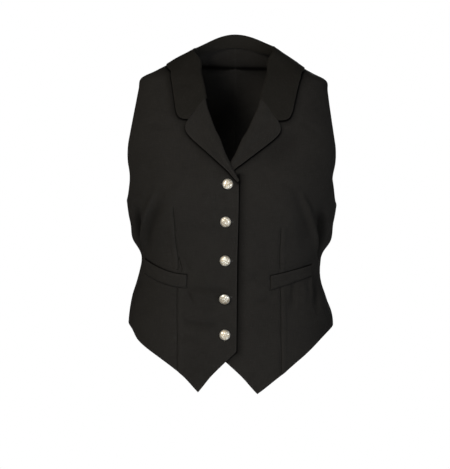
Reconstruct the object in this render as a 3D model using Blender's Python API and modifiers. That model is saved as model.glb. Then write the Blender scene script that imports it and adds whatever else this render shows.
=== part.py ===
"""A women's canvas vest with a notched collar, two welt pockets and five shank buttons.

The vest keeps the form that it has when it is worn, with nobody in it. +Z is up, the front
faces -Y, and the wearer's right side is at -X. The origin is midway between the neck ends of
the two shoulder seams. The cloth is a wall on a general figure, which rings describe.
"""

import math
from collections import namedtuple

import bmesh
import bpy
from mathutils import Matrix, Vector

CLOTH = 0.0015
SEAM_GAP = 0.0004
LAY_GAP = 0.0009
PATCH_GAP = 0.0006
RIGHT, LEFT = -1, 1
SIDE = math.pi / 2
CENTRE_BACK = math.pi

# The figure, as rings from below the front points up to the neck
Ring = namedtuple("Ring", "height half_width front back fullness back_rise")
RINGS = (
    Ring(-0.580, 0.1745, 0.1310, 0.1200, 2.25, 0.0000),
    Ring(-0.540, 0.1745, 0.1305, 0.1205, 2.25, 0.0000),
    Ring(-0.505, 0.1740, 0.1300, 0.1190, 2.25, 0.0000),
    Ring(-0.470, 0.1730, 0.1280, 0.1150, 2.25, 0.0000),
    Ring(-0.440, 0.1710, 0.1255, 0.1090, 2.25, 0.0000),
    Ring(-0.412, 0.1665, 0.1225, 0.1015, 2.23, 0.0000),
    Ring(-0.385, 0.1585, 0.1205, 0.0945, 2.20, 0.0000),
    Ring(-0.358, 0.1530, 0.1195, 0.0900, 2.18, 0.0000),
    Ring(-0.333, 0.1555, 0.1210, 0.0905, 2.18, 0.0000),
    Ring(-0.308, 0.1655, 0.1255, 0.0950, 2.22, 0.0000),
    Ring(-0.280, 0.1740, 0.1300, 0.1010, 2.27, 0.0000),
    Ring(-0.248, 0.1790, 0.1315, 0.1070, 2.30, 0.0000),
    Ring(-0.212, 0.1840, 0.1275, 0.1110, 2.30, 0.0000),
    Ring(-0.176, 0.1860, 0.1205, 0.1130, 2.30, 0.0000),
    Ring(-0.142, 0.1835, 0.1115, 0.1120, 2.30, 0.0005),
    Ring(-0.110, 0.1775, 0.1005, 0.1075, 2.30, 0.0015),
    Ring(-0.083, 0.1705, 0.0885, 0.1005, 2.30, 0.0030),
    Ring(-0.061, 0.1635, 0.0760, 0.0920, 2.30, 0.0050),
    Ring(-0.043, 0.1570, 0.0635, 0.0825, 2.27, 0.0075),
    Ring(-0.031, 0.1345, 0.0540, 0.0730, 2.22, 0.0090),
    Ring(-0.0185, 0.1110, 0.0445, 0.0645, 2.15, 0.0105),
    Ring(-0.0065, 0.0875, 0.0370, 0.0580, 2.10, 0.0120),
    Ring(0.0030, 0.0675, 0.0330, 0.0545, 2.05, 0.0140),
    Ring(0.0140, 0.0635, 0.0340, 0.0535, 2.00, 0.0165),
    Ring(0.0280, 0.0615, 0.0345, 0.0530, 2.00, 0.0190),
    Ring(0.0450, 0.0610, 0.0350, 0.0530, 2.00, 0.0210),
)
HEM_LEVEL = 4
UNDERARM_LEVEL = 11
TIP_LEVEL = 18
NECK_LEVEL = 22
TOP_LEVEL = len(RINGS) - 1

BUST_ACROSS, BUST_HEIGHT = 0.086, -0.250
BUST_FULLNESS, BUST_WIDTH, BUST_LENGTH = 0.009, 0.052, 0.058

# Soft folds of the worn cloth: angles from the centre front in degrees, a ridge is positive
Fold = namedtuple("Fold", "side top_angle top_height low_angle low_height half_width relief")
FOLDS = (
    Fold(RIGHT, 54, -0.243, 75, -0.338, 7.5, 0.0050),
    Fold(RIGHT, 74, -0.262, 90, -0.328, 11.0, -0.0065),
    Fold(RIGHT, 44, -0.240, 61, -0.325, 7.0, -0.0022),
    Fold(LEFT, 50, -0.243, 73, -0.340, 7.5, 0.0050),
    Fold(LEFT, 71, -0.265, 87, -0.334, 11.0, -0.0070),
    Fold(LEFT, 90, -0.376, 91, -0.402, 16.0, -0.0045),
    Fold(LEFT, 60, -0.395, 66, -0.440, 5.0, -0.0020),
)

FOLD_TAPER = 0.3

# The cut of the fronts as seen from the front: across from the centre, and height
Seen = namedtuple("Seen", "across height")
ROLL_LINE = (
    Seen(0.0015, -0.1870),
    Seen(0.0105, -0.1690),
    Seen(0.0189, -0.1480),
    Seen(0.0270, -0.1335),
    Seen(0.0363, -0.1110),
    Seen(0.0440, -0.0905),
    Seen(0.0492, -0.0650),
    Seen(0.0560, -0.0420),
    Seen(0.0620, -0.0135),
)
HEM_POINTS = {RIGHT: Seen(0.0470, -0.5690), LEFT: Seen(0.0515, -0.5705)}
FRONT_HEMS = {
    RIGHT: (Seen(0.0811, -0.5363), Seen(0.1174, -0.5110), Seen(0.1515, -0.4861), Seen(0.1650, -0.4660)),
    LEFT: (Seen(0.0899, -0.5400), Seen(0.1193, -0.5145), Seen(0.1536, -0.4811), Seen(0.1680, -0.4650)),
}
CORNER_HEIGHTS = {RIGHT: -0.5005, LEFT: -0.4990}
SIDE_HEM_HEIGHT = -0.4550
BACK_HEM_HEIGHT = -0.4630
UNDERARM_HEIGHT = -0.2560
Turn = namedtuple("Turn", "angle height")
FRONT_ARMHOLE = (
    Turn(78.5, -0.2460),
    Turn(73.0, -0.2280),
    Turn(71.5, -0.2080),
    Turn(74.0, -0.1840),
    Turn(75.2, -0.1600),
    Turn(75.2, -0.1350),
    Turn(76.5, -0.1080),
    Turn(79.0, -0.0830),
    Turn(82.5, -0.0630),
    Turn(86.0, -0.0515),
)
BACK_ARMHOLE = (
    Turn(98.5, -0.2460),
    Turn(104.5, -0.2200),
    Turn(108.5, -0.1900),
    Turn(110.5, -0.1600),
    Turn(110.5, -0.1300),
    Turn(108.0, -0.1000),
    Turn(103.5, -0.0750),
    Turn(98.5, -0.0570),
)

# How far each front passes the centre, where its lapel breaks, how it is lifted there, how wide
# its neckline, lapel and collar lie next to the tables, how the collar stands at the shoulder
# and to which level it comes down there
FrontEdge = namedtuple("FrontEdge", "past_centre break_height lift break_lift spread stand collar_level")
FRONT_EDGES = {
    RIGHT: FrontEdge(0.0155, -0.2180, 0.0026, 0.0048, 0.955, 0.0055, 20.05),
    LEFT: FrontEdge(0.0240, -0.2300, 0.0, 0.0, 1.045, 0.0105, 19.75),
}
LIFT_FULL, LIFT_END = 0.028, 0.066
LIFT_LOW, LIFT_HIGH, LIFT_TOP = -0.262, -0.175, -0.085

# Lapel and collar, in the same view; the lapel's foot lies inside and below the break
LAPEL_FOOT_IN, LAPEL_FOOT_BELOW = 0.0015, 0.0035
LAPEL_EDGE = (
    Seen(0.0050, -0.2020),
    Seen(0.0215, -0.1880),
    Seen(0.0385, -0.1735),
    Seen(0.0590, -0.1560),
    Seen(0.0725, -0.1435),
    Seen(0.0785, -0.1340),
    Seen(0.0778, -0.1245),
    Seen(0.0745, -0.1180),
)
GORGE_TOP_HEIGHT = -0.0800
GORGE_GAP = 0.0007
COLLAR_EDGE = (
    Seen(0.0737, -0.1155),
    Seen(0.0840, -0.1155),
    Seen(0.0915, -0.1120),
    Seen(0.0963, -0.1020),
    Seen(0.0997, -0.0845),
    Seen(0.1036, -0.0640),
    Seen(0.1078, -0.0460),
    Seen(0.1112, -0.0320),
)
COLLAR_BACK_LEVEL = 19.15
STAND_BACK, STAND_FRONT = 0.0190, 0.0019
STAND_FROM = math.radians(38)
LAP = 0.0032
UPRIGHT_FROM, UPRIGHT_AT = math.radians(45), math.radians(72)
FOLD_TURNS = (0.5, 1.1, 1.57, 2.05, 2.65, 3.14)
FALL_SOFTNESS = 0.0015
FALL_LIFT_FROM = 0.25

# Welts of the pockets: where their ends are, and how far the outer end rises
Welt = namedtuple("Welt", "inner outer top rise bow inner_width outer_width")
WELTS = {
    RIGHT: Welt(0.0693, 0.1440, -0.3755, 0.0290, -0.0098, 0.0200, 0.0240),
    LEFT: Welt(0.0700, 0.1380, -0.3748, 0.0195, -0.0010, 0.0235, 0.0180),
}
WELT_CLOTH = 0.0018

# Buttons on the wearer's left front, under the buttonholes of the right one
BUTTON_RADIUS = 0.00885
SHANK_RADIUS = 0.0015
SHANK_HOLE_RADIUS = 0.0019
HOLE_CUT_LENGTH, HOLE_CUT_OUT = 0.030, 0.004
RIM_THICKNESS, RIM_ROUND, HUB_RADIUS = 0.0006, 0.0004, 0.0024
DOME = ((0.0, 0.0049), (0.0024, 0.00465), (0.0048, 0.00385), (0.0069, 0.0025), (0.0082, 0.00115))
ButtonPlace = namedtuple("ButtonPlace", "past_centre height tilt")
BUTTONS = (
    ButtonPlace(0.0030, -0.2240, 0),
    ButtonPlace(0.0054, -0.2855, 0),
    ButtonPlace(0.0055, -0.3505, 0),
    ButtonPlace(0.0053, -0.4108, 24),
    ButtonPlace(0.0038, -0.4735, 0),
)

# Grid counts, the share of the hem's columns up to the front's point, and how the collar's
# sections lie closer together near the gorge
FRONT_COLUMNS, EDGE_ROWS, NECK_ROWS = 18, 15, 15
BACK_COLUMNS, SIDE_ROWS, ARMHOLE_ROWS, SHOULDER_ROWS = 12, 11, 11, 4
LAPEL_ROWS, LAPEL_COLUMNS = 16, 4
COLLAR_STATIONS, FALL_POINTS = 19, 6
POINT_SHARE = 0.24
NECK_SPACING, EDGE_SPACING = 1.1, 1.25
WELT_COLUMNS = 9


def hermite(before, start, end, after, share):
    """Cubic through start and end, with the slopes that their neighbours give."""
    a = 2 * start
    b = end - before
    c = 2 * before - 5 * start + 4 * end - after
    d = 3 * start - before - 3 * end + after
    return 0.5 * (a + b * share + c * share**2 + d * share**3)


def ring_at(level):
    """Ring of the figure at a level, which counts rings from the lowest and may lie between two."""
    level = min(max(level, 0.0), TOP_LEVEL - 1e-6)
    index = int(level)
    near = [RINGS[min(max(index + step, 0), TOP_LEVEL)] for step in (-1, 0, 1, 2)]
    return Ring(*(hermite(*values, level - index) for values in zip(*near)))


def level_at(height):
    """Level of the ring at a height."""
    low, high = 0.0, float(TOP_LEVEL)
    for _ in range(40):
        middle = (low + high) / 2
        if ring_at(middle).height < height:
            low = middle
        else:
            high = middle
    return (low + high) / 2


def bump(value):
    """Smooth hump: 1 at 0, and almost nothing past 2."""
    return math.exp(-value * value)


def ease(value):
    """Smooth step from 0 to 1."""
    value = min(max(value, 0.0), 1.0)
    return value * value * (3 - 2 * value)


def bare_point(angle, level):
    """Point of the figure at an angle from the centre front, positive towards +X."""
    ring = ring_at(level)
    sine, cosine = math.sin(angle), math.cos(angle)
    depth = ring.front if cosine > 0 else ring.back
    power = ring.fullness
    reach = (abs(sine / ring.half_width) ** power + abs(cosine / depth) ** power) ** (-1 / power)
    x, y, z = reach * sine, -reach * cosine, ring.height
    if cosine > 0:
        cup = bump((abs(x) - BUST_ACROSS) / BUST_WIDTH) * bump((z - BUST_HEIGHT) / BUST_LENGTH)
        y -= BUST_FULLNESS * cup * ease(cosine * 3)
    else:
        z += ring.back_rise * cosine * cosine
    return Vector((x, y, z))


def outward(angle, level, surface=bare_point):
    """Outward normal of a surface over the figure."""
    turn, rise = 0.004, 0.02
    across = surface(angle + turn, level) - surface(angle - turn, level)
    up = surface(angle, level + rise) - surface(angle, level - rise)
    return across.cross(up).normalized()


def fold_relief(angle, height):
    """How far the soft folds move the cloth out at a place on the figure."""
    total = 0.0
    for fold in FOLDS:
        share = (height - fold.low_height) / (fold.top_height - fold.low_height)
        middle = fold.low_angle + (fold.top_angle - fold.low_angle) * share
        from_middle = (math.degrees(angle) * fold.side - middle) / fold.half_width
        past_end = max(0.0, -share, share - 1) / FOLD_TAPER
        total += fold.relief * bump(from_middle) * bump(past_end)
    return total


def cloth_point(angle, level, out=0.0):
    """Point on the outer face of the cloth, or out from it."""
    point = bare_point(angle, level)
    return point + outward(angle, level) * (fold_relief(angle, point.z) + out)


def place_seen(seen):
    """Angle and level of a point that is given as seen from the front."""
    level = level_at(seen.height)
    ring = ring_at(level)
    share = min(abs(seen.across) / ring.half_width, 1.0)
    depth = ring.front * (1 - share**ring.fullness) ** (1 / ring.fullness)
    return Vector((math.atan2(seen.across, depth), level))


def turned_places(table):
    """Places of a table's angles and heights."""
    return [Vector((math.radians(turn.angle), level_at(turn.height))) for turn in table]


def run_through(places, steps=10):
    """Smooth line through places, each an angle and a level."""
    line = []
    for index in range(len(places) - 1):
        near = [places[min(max(index + step, 0), len(places) - 1)] for step in (-1, 0, 1, 2)]
        line += [hermite(*near, step / steps) for step in range(steps)]
    return line + [places[-1]]


def spaced(line, count, power=1.0):
    """The line again as count lengths of cloth: equal ones, or with a power above 1, finer at its start."""
    points = [bare_point(*place) for place in line]
    along = [0.0]
    for start, end in zip(points, points[1:]):
        along.append(along[-1] + (end - start).length)
    places, index = [], 0
    for step in range(count + 1):
        target = along[-1] * (step / count) ** power
        while index < len(line) - 2 and along[index + 1] < target:
            index += 1
        span = max(along[index + 1] - along[index], 1e-12)
        places.append(line[index].lerp(line[index + 1], min((target - along[index]) / span, 1.0)))
    return places


def seam_angle(level):
    """Angle that half a seam's gap takes at a level."""
    return SEAM_GAP / 2 / ring_at(level).half_width


def patch(low, high, start, end):
    """Rows of places inside four border lines; low and high run from start to end."""
    rows = []
    for v, (first, last) in enumerate(zip(start, end)):
        t = v / (len(start) - 1)
        row = []
        for u, (under, over) in enumerate(zip(low, high)):
            s = u / (len(low) - 1)
            corners = (low[0] * (1 - s) + low[-1] * s) * (1 - t) + (high[0] * (1 - s) + high[-1] * s) * t
            row.append(under * (1 - t) + over * t + first * (1 - s) + last * s - corners)
        rows.append(row)
    return rows


def share_in_cell(corners, place):
    """Shares along both sides of a cell of four places at which a place lies, or None outside it."""
    s, t = 0.5, 0.5
    low_start, low_end, high_start, high_end = corners
    for _ in range(8):
        low, high = low_start.lerp(low_end, s), high_start.lerp(high_end, s)
        miss = low.lerp(high, t) - place
        along = (low_end - low_start).lerp(high_end - high_start, t)
        rise = high - low
        area = along.x * rise.y - along.y * rise.x
        s -= (miss.x * rise.y - miss.y * rise.x) / area
        t -= (along.x * miss.y - along.y * miss.x) / area
    return (s, t) if -0.01 <= s <= 1.01 and -0.01 <= t <= 1.01 else None


def on_panel(panel, side, place, out):
    """Point at a place on a panel's own faces, moved out; a panel is its rows of places and of points."""
    for place_rows, point_rows in zip(zip(panel[0], panel[0][1:]), zip(panel[1], panel[1][1:])):
        if not min(p.y for p in place_rows[0]) - 0.1 < place.y < max(p.y for p in place_rows[1]) + 0.1:
            continue
        for u in range(len(place_rows[0]) - 1):
            corners = [row[u + step] for row in place_rows for step in (0, 1)]
            if not min(c.x for c in corners) - 0.02 < place.x < max(c.x for c in corners) + 0.02:
                continue
            shares = share_in_cell(corners, place)
            if shares:
                points = [row[u + step] for row in point_rows for step in (0, 1)]
                low, high = points[0].lerp(points[1], shares[0]), points[2].lerp(points[3], shares[0])
                return low.lerp(high, shares[1]) + outward(side * place.x, place.y) * out
    return front_point(side, place, out)


def material(name, colour, roughness, metallic=0.0):
    """Principled material with one colour."""
    made = bpy.data.materials.new(name)
    made.use_nodes = True
    shader = made.node_tree.nodes["Principled BSDF"]
    shader.inputs["Base Color"].default_value = (*colour, 1.0)
    shader.inputs["Roughness"].default_value = roughness
    shader.inputs["Metallic"].default_value = metallic
    return made


def add_object(name, mesh, collection, finish=None):
    """Object with a mesh, in a collection."""
    made = bpy.data.objects.new(name, mesh)
    collection.objects.link(made)
    if finish:
        mesh.materials.append(finish)
    return made


def cloth_sheet(name, rows, collection, finish, wall=CLOTH):
    """Grid of points as a wall of cloth, whose outer face the points give."""
    columns = len(rows[0])
    shape = bmesh.new()
    bmesh.ops.create_grid(shape, x_segments=columns - 1, y_segments=len(rows) - 1, size=0.5)
    shape.verts.ensure_lookup_table()
    for index, vert in enumerate(shape.verts):
        vert.co = rows[index // columns][index % columns]
    shape.faces.ensure_lookup_table()
    middle = shape.faces[len(shape.faces) // 2]
    middle.normal_update()
    if middle.normal.dot(middle.calc_center_median() * Vector((1, 1, 0))) < 0:
        bmesh.ops.reverse_faces(shape, faces=shape.faces)
    mesh = bpy.data.meshes.new(name)
    shape.to_mesh(mesh)
    shape.free()
    mesh.shade_smooth()
    made = add_object(name, mesh, collection, finish)
    solid = made.modifiers.new("Wall", "SOLIDIFY")
    solid.thickness = wall
    solid.offset = -1
    solid.use_even_offset = True
    return made


def lift_of(side, across, height):
    """How far a front stands off the figure where it lies on the other front."""
    edge = FRONT_EDGES[side]
    near_break = ease((height - LIFT_LOW) / (edge.break_height - LIFT_LOW))
    lift = edge.lift + (edge.break_lift - edge.lift) * near_break
    lift *= 1 - ease((height - LIFT_HIGH) / (LIFT_TOP - LIFT_HIGH))
    return lift * (1 - ease((across - LIFT_FULL) / (LIFT_END - LIFT_FULL)))


def front_point(side, place, out=0.0):
    """Point on the outer face of a front, from its place on a front that lies at +X."""
    across = bare_point(*place).x
    height = ring_at(place[1]).height
    return cloth_point(side * place[0], place[1], out + lift_of(side, across, height))


def places_of(side, table):
    """Places of a table's points on a side, as wide apart as that side's neckline lies."""
    spread = FRONT_EDGES[side].spread
    return [place_seen(Seen(seen.across * spread, seen.height)) for seen in table]


def roll_line(side):
    """Line on which the lapel and the collar fold, from the break up to the neck."""
    edge = FRONT_EDGES[side]
    start = place_seen(Seen(-edge.past_centre, edge.break_height))
    neck = Vector((SIDE - seam_angle(NECK_LEVEL), NECK_LEVEL))
    return run_through([start, *places_of(side, ROLL_LINE), neck])


def split_at(line, height):
    """The parts of a rising line below and above a height, and the place where they meet."""
    level = level_at(height)
    for index, (low, high) in enumerate(zip(line, line[1:])):
        if high.y >= level:
            cut = low.lerp(high, (level - low.y) / (high.y - low.y))
            return [*line[: index + 1], cut], [cut, *line[index + 1 :]]
    return line, line[-1:]


def front_places(side):
    """Places of a front's cloth, row by row from the hem."""
    edge = FRONT_EDGES[side]
    corner = place_seen(Seen(-edge.past_centre, CORNER_HEIGHTS[side]))
    point = place_seen(HEM_POINTS[side])
    side_hem = Vector((SIDE - seam_angle(HEM_LEVEL), level_at(SIDE_HEM_HEIGHT)))
    underarm = Vector((SIDE - seam_angle(UNDERARM_LEVEL), level_at(UNDERARM_HEIGHT)))
    tip = Vector((SIDE - seam_angle(TIP_LEVEL), TIP_LEVEL))
    roll = roll_line(side)
    point_column = round(FRONT_COLUMNS * POINT_SHARE)
    to_point = spaced(run_through([corner, point]), point_column)
    to_side = [point, *(place_seen(seen) for seen in FRONT_HEMS[side]), side_hem]
    hem = to_point + spaced(run_through(to_side), FRONT_COLUMNS - point_column)[1:]
    front_edge = spaced(run_through([corner, roll[0]]), EDGE_ROWS)
    start = front_edge + spaced(roll, NECK_ROWS)[1:]
    armhole = [underarm, *turned_places(FRONT_ARMHOLE), tip]
    end = spaced(run_through([side_hem, underarm]), EDGE_ROWS) + spaced(run_through(armhole), NECK_ROWS)[1:]
    shoulder = spaced(run_through([roll[-1], tip]), FRONT_COLUMNS)
    return patch(hem, shoulder, start, end)


def back_places():
    """Places of one half of the back, row by row from the hem, from the centre back out."""
    gap = seam_angle(NECK_LEVEL)
    centre = CENTRE_BACK - SEAM_GAP / 2 / RINGS[UNDERARM_LEVEL].back
    side_hem = Vector((SIDE + seam_angle(HEM_LEVEL), level_at(SIDE_HEM_HEIGHT)))
    underarm = Vector((SIDE + seam_angle(UNDERARM_LEVEL), level_at(UNDERARM_HEIGHT)))
    tip = Vector((SIDE + seam_angle(TIP_LEVEL), TIP_LEVEL))
    neck = Vector((SIDE + gap, NECK_LEVEL))
    low_centre = Vector((centre, level_at(BACK_HEM_HEIGHT)))
    blade = Vector((centre, level_at(UNDERARM_HEIGHT)))
    top_centre = Vector((centre, NECK_LEVEL))
    armhole = [underarm, *turned_places(BACK_ARMHOLE), tip]
    hem = spaced(run_through([low_centre, side_hem]), BACK_COLUMNS)
    neckline = spaced(run_through([top_centre, neck]), BACK_COLUMNS)
    upper_centre = spaced(run_through([blade, top_centre]), ARMHOLE_ROWS + SHOULDER_ROWS)
    start = spaced(run_through([low_centre, blade]), SIDE_ROWS) + upper_centre[1:]
    end = spaced(run_through([side_hem, underarm]), SIDE_ROWS) + spaced(run_through(armhole), ARMHOLE_ROWS)[1:]
    end += spaced(run_through([tip, neck]), SHOULDER_ROWS)[1:]
    return patch(hem, neckline, start, end)


def lapel_places(side):
    """Places of a lapel, in rows from the break up to the gorge, each from the roll line out."""
    edge = FRONT_EDGES[side]
    roll = split_at(roll_line(side), GORGE_TOP_HEIGHT)[0]
    low_edge = place_seen(Seen(-edge.past_centre + LAPEL_FOOT_IN, edge.break_height - LAPEL_FOOT_BELOW))
    outer = run_through([low_edge, *places_of(side, LAPEL_EDGE)])
    rows = []
    for inner, out in zip(spaced(roll, LAPEL_ROWS), spaced(outer, LAPEL_ROWS)):
        rows.append([inner.lerp(out, step / LAPEL_COLUMNS) for step in range(LAPEL_COLUMNS + 1)])
    return rows


def welt_places(side):
    """Places of a pocket's welt, in rows from its lower edge up."""
    welt = WELTS[side]
    rows = [[], []]
    for step in range(WELT_COLUMNS + 1):
        share = step / WELT_COLUMNS
        across = welt.inner + (welt.outer - welt.inner) * share
        top = welt.top + welt.rise * share + welt.bow * 4 * share * (1 - share)
        width = welt.inner_width + (welt.outer_width - welt.inner_width) * share
        rows[0].append(place_seen(Seen(across, top - width)))
        rows[1].append(place_seen(Seen(across, top)))
    middle = [low.lerp(high, 0.5) for low, high in zip(*rows)]
    return [rows[0], middle, rows[1]]


def neck_places(side):
    """Places of the neckline that the collar is sewn to, from the gorge to the centre back."""
    front = split_at(roll_line(side), GORGE_TOP_HEIGHT + GORGE_GAP)[1]
    back = [Vector((SIDE + (CENTRE_BACK - SIDE) * step / 12, NECK_LEVEL)) for step in range(1, 13)]
    return [*front, *back]


def collar_edge_places(side):
    """Places of the collar's outer edge on the cloth, from the notch to the centre back."""
    front = places_of(side, COLLAR_EDGE)
    start = FRONT_EDGES[side].collar_level
    back = []
    for step in range(7):
        share = step / 6
        level = start + (COLLAR_BACK_LEVEL - start) * ease(share)
        back.append(Vector((SIDE + (CENTRE_BACK - SIDE) * share, level)))
    return run_through([*front, *back])


def stand_height(side, place):
    """Height of the collar's stand above the neckline at a place on it."""
    at_side = FRONT_EDGES[side].stand
    to_side = ease((place.x - STAND_FROM) / (SIDE - STAND_FROM))
    to_back = ease((place.x - SIDE) / (CENTRE_BACK - SIDE))
    return STAND_FRONT + (at_side - STAND_FRONT) * to_side + (STAND_BACK - at_side) * to_back


def collar_stations(side):
    """Section lines of half the collar, each from the fall's outer edge over the fold to the stand."""
    necks = spaced(neck_places(side), COLLAR_STATIONS, NECK_SPACING)
    edges = spaced(collar_edge_places(side), COLLAR_STATIONS, EDGE_SPACING)
    fall_out = LAY_GAP + CLOTH / 2
    under = CLOTH + fall_out
    neck_points = [cloth_point(*place) for place in necks]
    stations = []
    for index, (neck, edge) in enumerate(zip(necks, edges)):
        base = neck_points[index]
        tangent = neck_points[min(index + 1, COLLAR_STATIONS)] - neck_points[max(index - 1, 0)]
        tangent.normalize()
        cloth_out = outward(*neck)
        away = tangent.cross(cloth_out).normalized()
        if away.dot(cloth_point(*edge) - base) < 0:
            away.negate()
        flat = Vector((cloth_out.x, cloth_out.y, 0)).normalized()
        upright = ease((neck.x - UPRIGHT_FROM) / (UPRIGHT_AT - UPRIGHT_FROM))
        out = cloth_out.lerp(flat, upright)
        out = (out - tangent * out.dot(tangent)).normalized()
        up = out.cross(tangent).normalized()
        if up.dot(away) > 0:
            up.negate()
        stand = stand_height(side, neck)
        knee_in = min(fall_out, stand - under)
        knee = base - cloth_out * under - away * knee_in
        lap = base - cloth_out * under + away * LAP
        radius = (fall_out - (knee - base).dot(out)) / 2
        turn = base + up * (stand - radius) + out * (fall_out - radius)
        fold = [turn + (out * math.cos(turned) + up * math.sin(turned)) * radius for turned in FOLD_TURNS]
        foot = cloth_point(*edge, fall_out)
        fall = []
        for step in range(FALL_POINTS):
            share = step / FALL_POINTS
            place = edge.lerp(neck, share)
            lain = cloth_point(*place, fall_out)
            normal = outward(*place)
            above = (foot.lerp(fold[0], share) - lain).dot(normal)
            lift = (above + math.sqrt(above * above + FALL_SOFTNESS**2)) / 2 * min(1.0, share / FALL_LIFT_FROM)
            fall.append(lain + normal * lift)
        line = [*fall, *fold, knee, lap]
        stations.append([Vector((side * point.x, point.y, point.z)) for point in line])
    return stations


def collar_loop(line, along):
    """Closed section of the collar: its middle line as a wall."""
    faces = ([], [])
    for index, point in enumerate(line):
        tangent = line[min(index + 1, len(line) - 1)] - line[max(index - 1, 0)]
        normal = tangent.cross(along).normalized() * CLOTH / 2
        faces[0].append(point + normal)
        faces[1].append(point - normal)
    return faces[0] + faces[1][::-1]


def build_collar(collection, finish):
    """The collar: fall, fold and stand in one piece round the neck."""
    lines = collar_stations(RIGHT)[:-1] + collar_stations(LEFT)[::-1]
    loops = []
    for index, line in enumerate(lines):
        along = lines[min(index + 1, len(lines) - 1)][FALL_POINTS] - lines[max(index - 1, 0)][FALL_POINTS]
        loops.append(collar_loop(line, along.normalized()))
    shape = bmesh.new()
    rings = [[shape.verts.new(point) for point in loop] for loop in loops]
    count = len(rings[0])
    for first, second in zip(rings, rings[1:]):
        for index in range(count):
            after = (index + 1) % count
            shape.faces.new((first[index], first[after], second[after], second[index]))
    half_count = count // 2
    for ring in (rings[0], rings[-1]):
        for index in range(half_count - 1):
            shape.faces.new((ring[index], ring[index + 1], ring[count - 2 - index], ring[count - 1 - index]))
    bmesh.ops.recalc_face_normals(shape, faces=shape.faces)
    mesh = bpy.data.meshes.new("collar")
    shape.to_mesh(mesh)
    shape.free()
    mesh.shade_smooth()
    return add_object("collar", mesh, collection, finish)


def button_frame(place):
    """Seat point on the left front's face and the button's axes there."""
    where = place_seen(Seen(place.past_centre, place.height))
    seat = front_point(LEFT, Vector((-where.x, where.y)))
    normal = outward(-where.x, where.y)
    down = Matrix.Rotation(math.radians(place.tilt), 3, Vector((1, 0, 0)))
    return seat, down @ normal


def stand_off(place):
    """Distance from the left front's face to the back of a button's rim, along the button's axis."""
    lift = lift_of(RIGHT, place.past_centre, place.height)
    tilt = math.radians(place.tilt)
    return (lift + SEAM_GAP + BUTTON_RADIUS * math.sin(tilt)) / math.cos(tilt)


def turned(name, profile, collection, finish, steps):
    """Turned piece from a profile of radius and height, with the axis along Z."""
    shape = bmesh.new()
    verts = [shape.verts.new((radius, 0, height)) for radius, height in profile]
    for first, second in zip(verts, verts[1:]):
        shape.edges.new((first, second))
    mesh = bpy.data.meshes.new(name)
    shape.to_mesh(mesh)
    shape.free()
    made = add_object(name, mesh, collection, finish)
    screw = made.modifiers.new("Turn", "SCREW")
    screw.steps = steps
    screw.render_steps = steps
    screw.use_merge_vertices = True
    screw.merge_threshold = 0.00001
    return made


def button_profile(off, tilt):
    """Radius and height of a domed shank button, from the top of the dome to the shank's foot."""
    foot = SEAM_GAP + SHANK_RADIUS * math.sin(math.radians(tilt)) * 1.1
    points = [(radius, off + height) for radius, height in DOME]
    points += [(BUTTON_RADIUS, off + RIM_THICKNESS), (BUTTON_RADIUS - RIM_ROUND, off)]
    points += [(HUB_RADIUS, off + RIM_ROUND / 2), (SHANK_RADIUS, off - RIM_ROUND)]
    points += [(SHANK_RADIUS, foot), (0.0, foot)]
    return points


def build_buttons(collection, cutters, finish):
    """The five buttons and, for each, the cutter of the hole that its shank goes through."""
    for number, place in enumerate(BUTTONS, 1):
        seat, axis = button_frame(place)
        off = stand_off(place)
        button = turned(f"button_{number}", button_profile(off, place.tilt), collection, finish, 14)
        button.location = seat
        button.rotation_mode = "QUATERNION"
        button.rotation_quaternion = axis.to_track_quat("Z", "Y")
        shape = bmesh.new()
        bmesh.ops.create_cone(
            shape,
            cap_ends=True,
            segments=8,
            radius1=SHANK_HOLE_RADIUS,
            radius2=SHANK_HOLE_RADIUS,
            depth=HOLE_CUT_LENGTH,
        )
        mesh = bpy.data.meshes.new(f"shank_hole_{number}")
        shape.to_mesh(mesh)
        shape.free()
        cutter = add_object(f"shank_hole_{number}", mesh, cutters)
        cutter.location = seat + axis * HOLE_CUT_OUT
        cutter.rotation_mode = "QUATERNION"
        cutter.rotation_quaternion = axis.to_track_quat("Z", "Y")
        cutter.hide_render = True
        cutter.display_type = "WIRE"
        cut = bpy.data.objects["front_right"].modifiers.new(f"Hole {number}", "BOOLEAN")
        cut.operation = "DIFFERENCE"
        cut.object = cutter


def main():
    """Builds the vest."""
    for old in list(bpy.data.objects):
        bpy.data.objects.remove(old)
    vest = bpy.data.collections.new("canvas_vest")
    cutters = bpy.data.collections.new("cutters")
    cutters.hide_render = True
    for collection in (vest, cutters):
        bpy.context.scene.collection.children.link(collection)
    canvas = material("black_canvas", (0.016, 0.015, 0.0145), 0.86)
    metal = material("old_silver", (0.56, 0.52, 0.45), 0.34, 1.0)

    names = {RIGHT: "right", LEFT: "left"}
    for side, name in names.items():
        places = front_places(side)
        rows = [[front_point(side, place) for place in row] for row in places]
        panel = (places, rows)
        cloth_sheet(f"front_{name}", rows, vest, canvas)
        rows = [[cloth_point(side * place[0], place[1]) for place in row] for row in back_places()]
        cloth_sheet(f"back_{name}", rows, vest, canvas)
        for patch_name, patch_places, wall in (
            ("lapel", lapel_places(side), CLOTH),
            ("pocket_welt", welt_places(side), WELT_CLOTH),
        ):
            rows = [[on_panel(panel, side, place, PATCH_GAP + wall) for place in row] for row in patch_places]
            cloth_sheet(f"{patch_name}_{name}", rows, vest, canvas, wall)
    build_collar(vest, canvas)
    build_buttons(vest, cutters, metal)


main()
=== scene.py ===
"""Looks of a women's canvas vest: cloth, seams, darts, creases, buttonholes and old silver buttons.

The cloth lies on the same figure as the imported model: rings give the figure's shape, and a place
on it is an angle from the centre front and a level, which counts the rings. Metres, +Z up, the
front faces -Y, the wearer's right side is at -X.
"""

import logging
import math
from collections.abc import Sequence
from dataclasses import dataclass, field
from enum import Enum
from typing import ClassVar, NamedTuple

import bmesh
import bpy
from mathutils import Matrix, Vector, noise


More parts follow.
